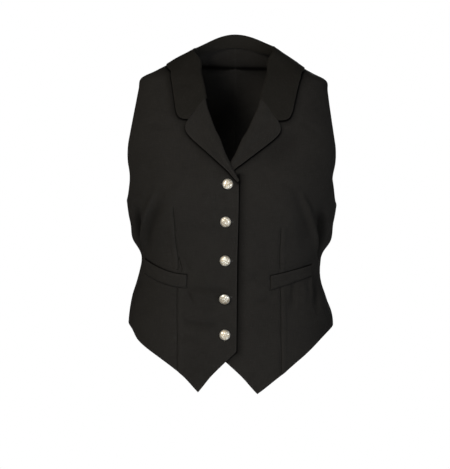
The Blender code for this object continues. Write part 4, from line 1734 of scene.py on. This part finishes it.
@dataclass
class Collar(ClothPiece):
    """The collar: fall, fold and stand in one piece round the neck."""

    hold: ClassVar[Hold] = Hold.FOLDED
    # The collar takes the darker copy of the canvas: painted shade.
    crosswise: ClassVar[bool] = True
    node: ClassVar[str] = "collar"
    rests_on: ClassVar[tuple[str, ...]] = ()
    cuts: tuple[FrontCut, FrontCut]
    size: Cut = Cut(0.560, 0.105, 0.0400)
    wall: float = 0.0021
    lay_gap: float = 0.0009
    edge_stand: float = 0.0014
    settle: float = 0.0008
    back_level: float = 19.15
    stand_back: float = 0.0190
    stand_front: float = 0.0019
    stand_from: float = math.radians(38)
    upright_from: float = math.radians(45)
    upright_at: float = math.radians(72)
    lap: float = 0.0032
    softness: float = 0.0015
    lift_from: float = 0.25
    stations: int = 120
    fall_points: int = 22
    fold_start: float = 0.5
    fold_points: int = 12
    edge_round: float = 0.0009
    back_steps: int = 6
    neck_steps: int = 36
    neck_spacing: float = 1.1
    edge_spacing: float = 1.25
    top_width: float = 16.0
    stand_off_end: float = 0.5

    def edge_line(self, cut: FrontCut) -> Line:
        """Places of the outer edge on the cloth, from the notch to the centre back."""
        return run_through([*cut.places_of(cut.collar_edge), *self.back_edge(cut)])

    def back_edge(self, cut: FrontCut) -> Line:
        """Places of the outer edge from the shoulder seam to the centre back.

        Args:
            cut: the front whose half it is.

        Returns:
            The places.
        """
        places = []
        for step in range(self.back_steps + 1):
            share = step / self.back_steps
            level = cut.collar_level + (self.back_level - cut.collar_level) * ease(share)
            places.append(Vector((SIDE_ANGLE + (CENTRE_BACK - SIDE_ANGLE) * share, level)))
        return places

    def neck_line(self, cut: FrontCut) -> Line:
        """Places of the neckline that it is sewn to, from the gorge to the centre back.

        Args:
            cut: the front whose half it is.

        Returns:
            The places.
        """
        line = list(cut.roll_parts()[1])
        for step in range(1, self.neck_steps + 1):
            angle = SIDE_ANGLE + (CENTRE_BACK - SIDE_ANGLE) * step / self.neck_steps
            line.append(Vector((angle, cut.figure.neck_level)))
        return line

    def stand_height(self, cut: FrontCut, place: Vector) -> float:
        """Height of the stand above the neckline at a place on it.

        Args:
            cut: the front whose half it is.
            place: the place.

        Returns:
            Metres.
        """
        to_side = ease((place.x - self.stand_from) / (SIDE_ANGLE - self.stand_from))
        to_back = ease((place.x - SIDE_ANGLE) / (CENTRE_BACK - SIDE_ANGLE))
        rise = (cut.stand - self.stand_front) * to_side
        return self.stand_front + rise + (self.stand_back - cut.stand) * to_back

    def half(self, cut: FrontCut) -> Rows:
        """Section lines of half the collar, from the fall's outer edge over the fold to the stand.

        Args:
            cut: the front whose half it is.

        Returns:
            The lines, from the notch to the centre back.
        """
        figure = cut.figure
        necks = figure.spaced(self.neck_line(cut), self.stations, self.neck_spacing)
        edges = figure.spaced(self.edge_line(cut), self.stations, self.edge_spacing)
        fall_out = self.lay_gap + self.wall / 2
        under = CLOTH_WALL + fall_out
        points = [figure.cloth(*place) for place in necks]
        lines = []
        for index, (neck, edge) in enumerate(zip(necks, edges)):
            base = points[index]
            tangent = points[min(index + 1, self.stations)] - points[max(index - 1, 0)]
            tangent.normalize()
            cloth_out = figure.outward(*neck)
            away = tangent.cross(cloth_out).normalized()
            if away.dot(figure.cloth(*edge) - base) < 0:
                away.negate()
            flat = Vector((cloth_out.x, cloth_out.y, 0)).normalized()
            upright = ease((neck.x - self.upright_from) / (self.upright_at - self.upright_from))
            out = cloth_out.lerp(flat, upright)
            out = (out - tangent * out.dot(tangent)).normalized()
            up = out.cross(tangent).normalized()
            if up.dot(away) > 0:
                up.negate()
            stand = self.stand_height(cut, neck)
            knee_in = min(fall_out, stand - under)
            knee = base - cloth_out * under - away * knee_in
            lap = base - cloth_out * under + away * self.lap
            radius = (fall_out - (knee - base).dot(out)) / 2
            turn = base + up * (stand - radius) + out * (fall_out - radius)
            fold = []
            for step in range(self.fold_points):
                angle = self.fold_start + (math.pi - self.fold_start) * step / (self.fold_points - 1)
                fold.append(turn + (out * math.cos(angle) + up * math.sin(angle)) * radius)
            foot = figure.cloth(*edge, fall_out)
            fall = []
            on_top = bump(math.degrees(edge.x - SIDE_ANGLE) / self.top_width)
            held_off = self.edge_stand * (1 - on_top) - self.settle * on_top
            for step in range(self.fall_points):
                share = step / self.fall_points
                place = edge.lerp(neck, share)
                lain = figure.cloth(*place, fall_out)
                normal = figure.outward(*place)
                above = (foot.lerp(fold[0], share) - lain).dot(normal)
                lift = (above + math.sqrt(above * above + self.softness**2)) / 2
                lift *= min(1.0, share / self.lift_from)
                stand_off = held_off * (1 - ease(share / self.stand_off_end))
                fall.append(lain + normal * (lift + stand_off))
            lines.append([*fall, *fold, knee, knee.lerp(lap, 0.5), lap])
        if cut.side is Side.RIGHT:
            lines = [[Vector((-point.x, point.y, point.z)) for point in line] for line in lines]
        return lines

    def sheet(self) -> Sheet:
        """Joins both halves at the centre back.

        Returns:
            The sheet.
        """
        right, left = self.cuts
        rows = self.half(right)[:-1] + self.half(left)[::-1]
        flats = []
        for around, row in zip(run_lengths([row[0] for row in rows]), rows):
            flats.append([Vector((around, across)) for across in run_lengths(row)])
        return Sheet("collar_cloth", rows, flats, Vector((0, 1, 0)), self.wall, 0.0, self.edge_round)


@dataclass
class PocketWelt(ClothPiece):
    """A slanted welt: its lower edge and its ends are sewn down, and its top edge stands free."""

    kind: ClassVar[str] = "pocket_welt"
    hold: ClassVar[Hold] = Hold.LAID
    cut: FrontCut
    inner: float
    outer: float
    top: float
    rise: float
    bow: float
    inner_width: float
    outer_width: float
    size: Cut
    wall: float = 0.0018
    height: float = 0.0026
    sewn_width: float = 0.0035
    sewn_end: float = 0.0021
    sunk: float = 0.0002
    row_spacing: float = 1.25
    cloth_share: float = 1.1
    columns: int = 44
    rows_up: int = 16
    line_steps: int = 6

    def ends_at(self, share: float) -> tuple[Vector, Vector, float]:
        """Low and high place of the welt at a share of its length, and its width there.

        Args:
            share: share of the length, from the inner end.

        Returns:
            Low place, high place and width.
        """
        figure = self.cut.figure
        top = self.top + self.rise * share + self.bow * 4 * share * (1 - share)
        width = self.inner_width + (self.outer_width - self.inner_width) * share
        across = self.inner + (self.outer - self.inner) * share
        return figure.place_seen(Seen(across, top - width)), figure.place_seen(Seen(across, top)), width

    def stations(self) -> list[tuple[Vector, Vector, float]]:
        """Low and high places and widths, evenly along the welt."""
        return [self.ends_at(step / self.line_steps) for step in range(self.line_steps + 1)]

    def mouth(self) -> SurfaceLine:
        """The pocket's mouth, on the front behind the welt's top edge."""
        return SurfaceLine([high for _, high, _ in self.stations()], WELT_MOUTH)

    def seams(self) -> list[SurfaceLine]:
        """The seam along the welt's lower edge, and the sewn ends.

        Returns:
            The lines.
        """
        low = [low for low, _, _ in self.stations()]
        ends = [list(self.ends_at(share)[:2]) for share in (0.0, 1.0)]
        return [SurfaceLine(places, WELT_SEAM) for places in (low, *ends)]

    def sheet(self) -> Sheet:
        """Lays the welt on the front, a little raised inside its sewn edges.

        Returns:
            The sheet.
        """
        cut = self.cut
        length = self.outer - self.inner
        rows, flats = [], []
        for level in range(self.rows_up + 1):
            rise = (level / self.rows_up) ** self.row_spacing
            points, flat_row = [], []
            for step in range(self.columns + 1):
                share = 0.5 - 0.5 * math.cos(math.pi * step / self.columns)
                low, high, width = self.ends_at(share)
                from_low = rise * width
                from_end = min(share, 1 - share) * length
                sewn = min(from_low / self.sewn_width, 1.0), min(from_end / self.sewn_end, 1.0)
                full = math.sqrt(1 - (1 - sewn[0]) ** 2) * math.sqrt(1 - (1 - sewn[1]) ** 2)
                points.append(cut.on(low.lerp(high, rise), (self.height + self.sunk) * full - self.sunk))
                flat_row.append(Vector((length * share * self.cloth_share, from_low)))
            rows.append(points)
            flats.append(flat_row)
        return Sheet(f"{self.node}_cloth", rows, flats, Vector((0, -1, 0)), self.wall)


class ButtonPlace(NamedTuple):
    """Where a button sits: past the centre, height, and how far it hangs down in degrees."""

    past_centre: float
    height: float
    tilt: float = 0.0


@dataclass
class ShankButtons:
    """Five domed shank buttons on the left front, each through a buttonhole of the right one."""

    right: FrontCut
    left: FrontCut
    places: tuple[ButtonPlace, ...] = (
        ButtonPlace(0.0030, -0.2240),
        ButtonPlace(0.0054, -0.2855),
        ButtonPlace(0.0055, -0.3505),
        ButtonPlace(0.0053, -0.4108, tilt=29),
        ButtonPlace(0.0038, -0.4735),
    )
    radius: float = 0.00885
    rim: float = 0.0006
    gap: float = 0.0004
    dome_height: float = 0.0049
    dome_rings: int = 24
    facets: int = 96
    upward: float = 0.9
    at_middle: float = 1e-5
    rim_round: float = 0.00022
    rim_angle: float = math.radians(50)
    smooth_angle: float = math.radians(40)
    shank_radius: float = 0.0015
    shank_height: float = 0.0012
    shank_drop: float = 0.0004
    shank_round: float = 0.0002
    shank_facets: int = 24
    loop_radius: float = 0.0010
    loop_wire: float = 0.00035
    loop_drop: float = 0.0008
    loop_facets: tuple[int, int] = (32, 12)
    dent_depth: float = 0.00014
    dent_scale: float = 300.0
    dent_edge: float = 1.6
    dent_waves: float = 0.8
    dent_rim: float = 0.0012
    dent_shift: Vector = field(default_factory=lambda: Vector((3.7, 1.3, 5.1)))

    def frame_of(self, place: ButtonPlace) -> tuple[Vector, Vector, float]:
        """Seat on the left front's face, the button's axis, and its rim's distance from the seat.

        Args:
            place: the button's place.

        Returns:
            Seat, axis and distance.
        """
        figure = self.left.figure
        where = figure.place_seen(Seen(place.past_centre, place.height))
        seat = self.left.on(Vector((-where.x, where.y)))
        tilt = math.radians(place.tilt)
        down = Matrix.Rotation(tilt, 3, Vector((1, 0, 0)))
        lift = self.right.lift_at(place.past_centre, place.height)
        off = (lift + self.gap + self.radius * math.sin(tilt)) / math.cos(tilt)
        return seat, down @ figure.outward(-where.x, where.y), off

    def dome(self, name: str, off: float, seed: int) -> bpy.types.Object:
        """Makes a button's head: a disc whose top is inset ring by ring into a dome.

        Args:
            name: the object's name.
            off: height of its back.
            seed: which part of the dent pattern it shows.

        Returns:
            The head, with the attribute hollow.
        """
        Bench.clear()
        bpy.ops.mesh.primitive_cylinder_add(
            vertices=self.facets, radius=self.radius, depth=self.rim, location=(0, 0, off + self.rim / 2)
        )
        head = Bench.added(name)
        Bench.settle(head)
        bpy.ops.object.mode_set(mode="EDIT")
        bpy.ops.mesh.select_mode(type="FACE")
        bpy.ops.mesh.select_all(action="DESELECT")
        shape = bmesh.from_edit_mesh(head.data)
        for face in shape.faces:
            face.select_set(face.normal.z > self.upward)
        bmesh.update_edit_mesh(head.data)
        radius, height = self.radius, 0.0
        for ring in range(1, self.dome_rings):
            turn = math.pi / 2 * ring / self.dome_rings
            next_radius = self.radius * math.cos(turn)
            next_height = (self.dome_height - self.rim) * math.sin(turn)
            bpy.ops.mesh.inset(thickness=radius - next_radius, depth=next_height - height)
            radius, height = next_radius, next_height
        bpy.ops.mesh.merge(type="CENTER")
        bpy.ops.mesh.select_all(action="DESELECT")
        bpy.ops.object.mode_set(mode="OBJECT")
        top = off + self.dome_height
        for vertex in head.data.vertices:
            if vertex.co.xy.length < self.at_middle and vertex.co.z > off + self.rim:
                vertex.co.z = top
        self.engrave(head, off, seed)
        Bench.round_edges(head, self.rim_round, self.rim_angle)
        return head

    def engrave(self, head: bpy.types.Object, off: float, seed: int) -> None:
        """Sinks an uneven hand-worked pattern into a dome and notes how deep each point lies.

        Args:
            head: the button's head.
            off: height of its back.
            seed: which part of the pattern it shows.
        """
        hollows = []
        shift = self.dent_shift * seed
        for vertex in head.data.vertices:
            spot = vertex.co * self.dent_scale + shift
            cells = noise.voronoi(spot)[0]
            ridge = min((cells[1] - cells[0]) * self.dent_edge, 1.0)
            depth = 1 - ease(ridge) + 0.5 * max(noise.noise(spot * self.dent_waves), 0.0)
            near_rim = ease((self.radius - vertex.co.xy.length) / self.dent_rim)
            depth = min(depth, 1.0) * near_rim if vertex.co.z > off + self.rim * 0.5 else 0.0
            hollows.append(depth)
            vertex.co.z -= depth * self.dent_depth
        head.data.attributes.new("hollow", "FLOAT", "POINT").data.foreach_set("value", hollows)

    def shank(self, name: str, off: float) -> bpy.types.Object:
        """Makes the shank: a short neck under the head, and the wire loop that is sewn on.

        Args:
            name: the object's name.
            off: height of the head's back.

        Returns:
            The shank.
        """
        Bench.clear()
        bpy.ops.mesh.primitive_cylinder_add(
            vertices=self.shank_facets,
            radius=self.shank_radius,
            depth=self.shank_height,
            location=(0, 0, off - self.shank_drop),
        )
        neck = Bench.added(name)
        Bench.round_edges(neck, self.shank_round)
        Bench.clear()
        bpy.ops.mesh.primitive_torus_add(
            location=(0, 0, off - self.loop_drop),
            rotation=(math.pi / 2, 0, 0),
            major_segments=self.loop_facets[0],
            minor_segments=self.loop_facets[1],
            major_radius=self.loop_radius,
            minor_radius=self.loop_wire,
        )
        loop = Bench.added(f"{name}_loop")
        return Bench.join(name, [neck, loop])

    def build(self, finishes: Finishes) -> list[bpy.types.Object]:
        """Makes the five buttons.

        Args:
            finishes: the vest's materials.

        Returns:
            The pieces.
        """
        made = []
        for number, place in enumerate(self.places, 1):
            seat, axis, off = self.frame_of(place)
            name = f"button_{number}_metal"
            piece = Bench.join(name, [self.dome(name, off, number), self.shank(f"{name}_shank", off)])
            piece.location = seat
            piece.rotation_mode = "QUATERNION"
            piece.rotation_quaternion = axis.to_track_quat("Z", "Y")
            Bench.settle(piece)
            Bench.take(piece)
            bpy.ops.object.shade_smooth_by_angle(angle=self.smooth_angle)
            dress(piece, finishes.silver, "old_silver", f"button_{number}")
            made.append(piece)
        return made


@dataclass
class Buttonholes:
    """Worked buttonholes of the right front: a slit with purled stitches all round."""

    buttons: ShankButtons
    length: float = 0.0185
    half_width: float = 0.0012
    bead: float = 0.00042
    bead_change: float = 0.25
    bead_height: float = 0.8
    lift: float = 0.0001
    stitches: int = 84
    facets: int = 8
    straightness: float = 1.6
    inset: float = 0.0016

    def outline(self, share: float) -> tuple[float, float]:
        """Point along the slit's oval, from its middle.

        Args:
            share: share of the way round.

        Returns:
            Along the slit, and across it.
        """
        turn = math.tau * share
        straight = self.length / 2 - self.half_width
        end = max(-1.0, min(1.0, math.cos(turn) * self.straightness))
        return straight * end + self.half_width * math.cos(turn), self.half_width * math.sin(turn)

    def build(self, finishes: Finishes) -> bpy.types.Object:
        """Makes all five, as one piece of thread work.

        Args:
            finishes: the vest's materials.

        Returns:
            The piece.
        """
        cut = self.buttons.right
        figure = cut.figure
        rings = []
        for place in self.buttons.places:
            Bench.clear()
            steps = self.stitches * 2
            bpy.ops.mesh.primitive_torus_add(major_segments=steps, minor_segments=self.facets)
            ring = Bench.added("buttonhole")
            for index, vertex in enumerate(ring.data.vertices):
                step, around = divmod(index, self.facets)
                share = step / steps
                bead = self.bead * (1 + self.bead_change * (1 if step % 2 else -1))
                x, y = self.outline(share)
                turn = math.tau * around / self.facets
                radial = Vector((math.cos(math.tau * share), math.sin(math.tau * share)))
                x += radial.x * bead * math.cos(turn)
                y += radial.y * bead * math.cos(turn)
                middle = -place.past_centre + self.length / 2 - self.inset
                where = figure.place_seen(Seen(middle + x, place.height + y))
                vertex.co = cut.on(where, self.lift + bead * self.bead_height * math.sin(turn))
            rings.append(ring)
        piece = Bench.join("buttonholes", rings)
        bpy.ops.object.mode_set(mode="EDIT")
        bpy.ops.mesh.select_all(action="SELECT")
        bpy.ops.mesh.normals_make_consistent(inside=False)
        bpy.ops.object.mode_set(mode="OBJECT")
        bpy.ops.object.shade_smooth()
        dress(piece, finishes.thread, "black_canvas")
        return piece


class Lamp(NamedTuple):
    """One soft square lamp: where it stands, its side in metres, its watts and its tint."""

    name: str
    place: tuple[float, float, float]
    size: float
    power: float
    tint: tuple[float, float, float]


@dataclass
class Studio:
    """Plain pale floor, soft light and the camera."""

    lamps: tuple[Lamp, ...] = (
        Lamp("left_softbox", (-1.3, -2.4, 0.9), 0.8, 57.0, (1.0, 0.94, 0.82)),
        Lamp("right_softbox", (2.5, -2.3, -0.1), 0.8, 32.0, (0.95, 0.98, 1.0)),
        Lamp("front_fill", (0.2, -2.6, -1.5), 1.0, 45.0, (0.84, 0.92, 1.0)),
        Lamp("back_fill", (0.6, 4.2, 1.2), 1.6, 60.0, (1.0, 1.0, 1.0)),
    )
    aim_height: float = -0.28
    world_seen: float = 1.0
    world_lit: float = 0.045
    world_mirrored: float = 0.20
    floor_grey: float = 0.86
    floor_roughness: float = 0.8
    floor_facets: int = 96
    floor_height: float = -1.35
    floor_radius: float = 6.0
    distance: float = 5.0
    turn: float = math.radians(2.0)
    roll: float = math.radians(0.88)
    target_across: float = -0.0107
    target_height: float = -0.30685
    view_height: float = 0.7973
    sensor: float = 36.0
    view_reach: float = 100.0

    def camera(self) -> bpy.types.Object:
        """Adds the camera at the photograph's angle.

        Returns:
            The camera.
        """
        back = Vector((math.sin(self.turn), -math.cos(self.turn), 0))
        level = Vector((math.cos(self.turn), math.sin(self.turn), 0))
        up = Vector((0, 0, 1)) * math.cos(self.roll) - level * math.sin(self.roll)
        right = up.cross(back)
        target = level * self.target_across + Vector((0, 0, self.target_height))
        place = Matrix((right, up, back)).transposed().to_4x4()
        place.translation = target + back * self.distance
        made = bpy.data.objects.new("camera", bpy.data.cameras.new("camera"))
        bpy.context.scene.collection.objects.link(made)
        made.data.sensor_fit = "AUTO"
        made.data.sensor_width = self.sensor
        made.data.lens = self.sensor * self.distance / self.view_height
        made.data.clip_end = self.view_reach
        made.matrix_world = place
        bpy.context.scene.camera = made
        return made

    def light(self, lamp: Lamp) -> bpy.types.Object:
        """Adds one lamp, turned to the vest.

        Args:
            lamp: the lamp's sizes.

        Returns:
            The light.
        """
        data = bpy.data.lights.new(lamp.name, "AREA")
        data.size = lamp.size
        data.energy = lamp.power
        data.color = lamp.tint
        made = bpy.data.objects.new(lamp.name, data)
        bpy.context.scene.collection.objects.link(made)
        made.location = lamp.place
        made.rotation_mode = "QUATERNION"
        towards = Vector((0, 0, self.aim_height)) - Vector(lamp.place)
        made.rotation_quaternion = towards.to_track_quat("-Z", "Y")
        return made

    def world(self) -> None:
        """Sets a pale world, which lights and is mirrored less than it is seen."""
        world = bpy.data.worlds.new("studio")
        world.use_nodes = True
        bpy.context.scene.world = world
        nodes = Nodes(world.node_tree)
        shader = world.node_tree.nodes["Background"]
        shader.inputs["Color"].default_value = (1.0, 1.0, 1.0, 1.0)
        path = nodes.add("ShaderNodeLightPath")
        glossy, camera = path.outputs["Is Glossy Ray"], path.outputs["Is Camera Ray"]
        strength = nodes.blur_step(glossy, 0.0, 1.0, self.world_lit, self.world_mirrored)
        strength = nodes.blur_step(camera, 0.0, 1.0, strength, self.world_seen)
        nodes.put(shader.inputs["Strength"], strength)

    def build(self) -> None:
        """Adds the floor, the lights, the world and the camera."""
        Bench.clear()
        bpy.ops.mesh.primitive_circle_add(
            vertices=self.floor_facets,
            radius=self.floor_radius,
            fill_type="NGON",
            location=(0, 0, self.floor_height),
        )
        floor = Bench.added("floor")
        Bench.settle(floor)
        paint, _, shader = new_material("pale_floor")
        shader.inputs["Base Color"].default_value = (self.floor_grey, self.floor_grey, self.floor_grey, 1.0)
        shader.inputs["Roughness"].default_value = self.floor_roughness
        floor.data.materials.append(paint)
        for lamp in self.lamps:
            self.light(lamp)
        self.world()
        bpy.context.scene.view_settings.view_transform = "Standard"
        self.camera()


class Dart(NamedTuple):
    """One stretch of a dart, with the side that its cloth is pressed to and how far it stands up."""

    towards: int
    ridge: float
    points: tuple[Seen, ...]


RIGHT_DARTS = (
    Dart(1, 0.0005, (
        Seen(0.0850, -0.3720), Seen(0.0847, -0.3539), Seen(0.0883, -0.3256),
        Seen(0.0907, -0.2924), Seen(0.0925, -0.2675),
    )),
    Dart(0, 0.0, (Seen(0.0760, -0.3725), Seen(0.0800, -0.3560), Seen(0.0850, -0.3400))),
    Dart(-1, 0.0007, (
        Seen(0.0828, -0.5420), Seen(0.0831, -0.5165), Seen(0.0840, -0.4667), Seen(0.0855, -0.4004),
    )),
)
LEFT_DARTS = (
    Dart(1, 0.0005, (
        Seen(0.0858, -0.3760), Seen(0.0853, -0.3612), Seen(0.0849, -0.3312), Seen(0.0863, -0.2996),
    )),
    Dart(1, 0.0008, (
        Seen(0.0906, -0.5460), Seen(0.0902, -0.5236), Seen(0.0887, -0.4640), Seen(0.0869, -0.3977),
    )),
)


@dataclass
class Vest:
    """The whole vest."""

    figure: Figure = field(default_factory=Figure)

    def darts(self, table: Sequence[Dart]) -> tuple[SurfaceLine, ...]:
        """The sewn lines of a front's darts.

        Args:
            table: the darts.

        Returns:
            A line for each.
        """
        places = [self.figure.seen_places(dart.points) for dart in table]
        return tuple(
            SurfaceLine(line, DART_SEAM, dart.towards, dart.ridge) for line, dart in zip(places, table)
        )

    def build(self, finishes: Finishes) -> None:
        """Makes every piece and reports it.

        Args:
            finishes: the vest's materials.
        """
        right, left = both_fronts(self.figure)
        collar = Collar((right, left))
        buttons = ShankButtons(right, left)
        right_welt = PocketWelt(
            cut=right,
            inner=0.0693,
            outer=0.1440,
            top=-0.3750,
            rise=0.0258,
            bow=-0.0062,
            inner_width=0.0215,
            outer_width=0.0240,
            size=Cut(0.100, 0.027, 0.0025),
        )
        left_welt = PocketWelt(
            cut=left,
            inner=0.0700,
            outer=0.1380,
            top=-0.3748,
            rise=0.0195,
            bow=-0.0010,
            inner_width=0.0235,
            outer_width=0.0180,
            size=Cut(0.095, 0.027, 0.0020),
        )
        parts = (
            FrontPanel(right, self.darts(RIGHT_DARTS), right_welt, Cut(0.300, 0.575, 0.1090)),
            FrontPanel(left, self.darts(LEFT_DARTS), left_welt, Cut(0.305, 0.575, 0.1110)),
            BackPanel(right, collar),
            BackPanel(left, collar),
            Lapel(right, Cut(0.072, 0.190, 0.0060)),
            Lapel(left, Cut(0.074, 0.195, 0.0066)),
            collar,
            right_welt,
            left_welt,
            buttons,
            Buttonholes(buttons),
        )
        for part in parts:
            made = part.build(finishes)
            for piece in made if isinstance(made, list) else [made]:
                area = sum(face.area for face in piece.data.polygons)
                log.info("%s: %d faces, %.4f square metres", piece.name, len(piece.data.polygons), area)


def main() -> None:
    """Builds the vest and its studio."""
    logging.basicConfig(level=logging.INFO, format="%(name)s: %(message)s")
    Vest().build(Finishes.build())
    Studio().build()


if __name__ == "__main__":
    main()
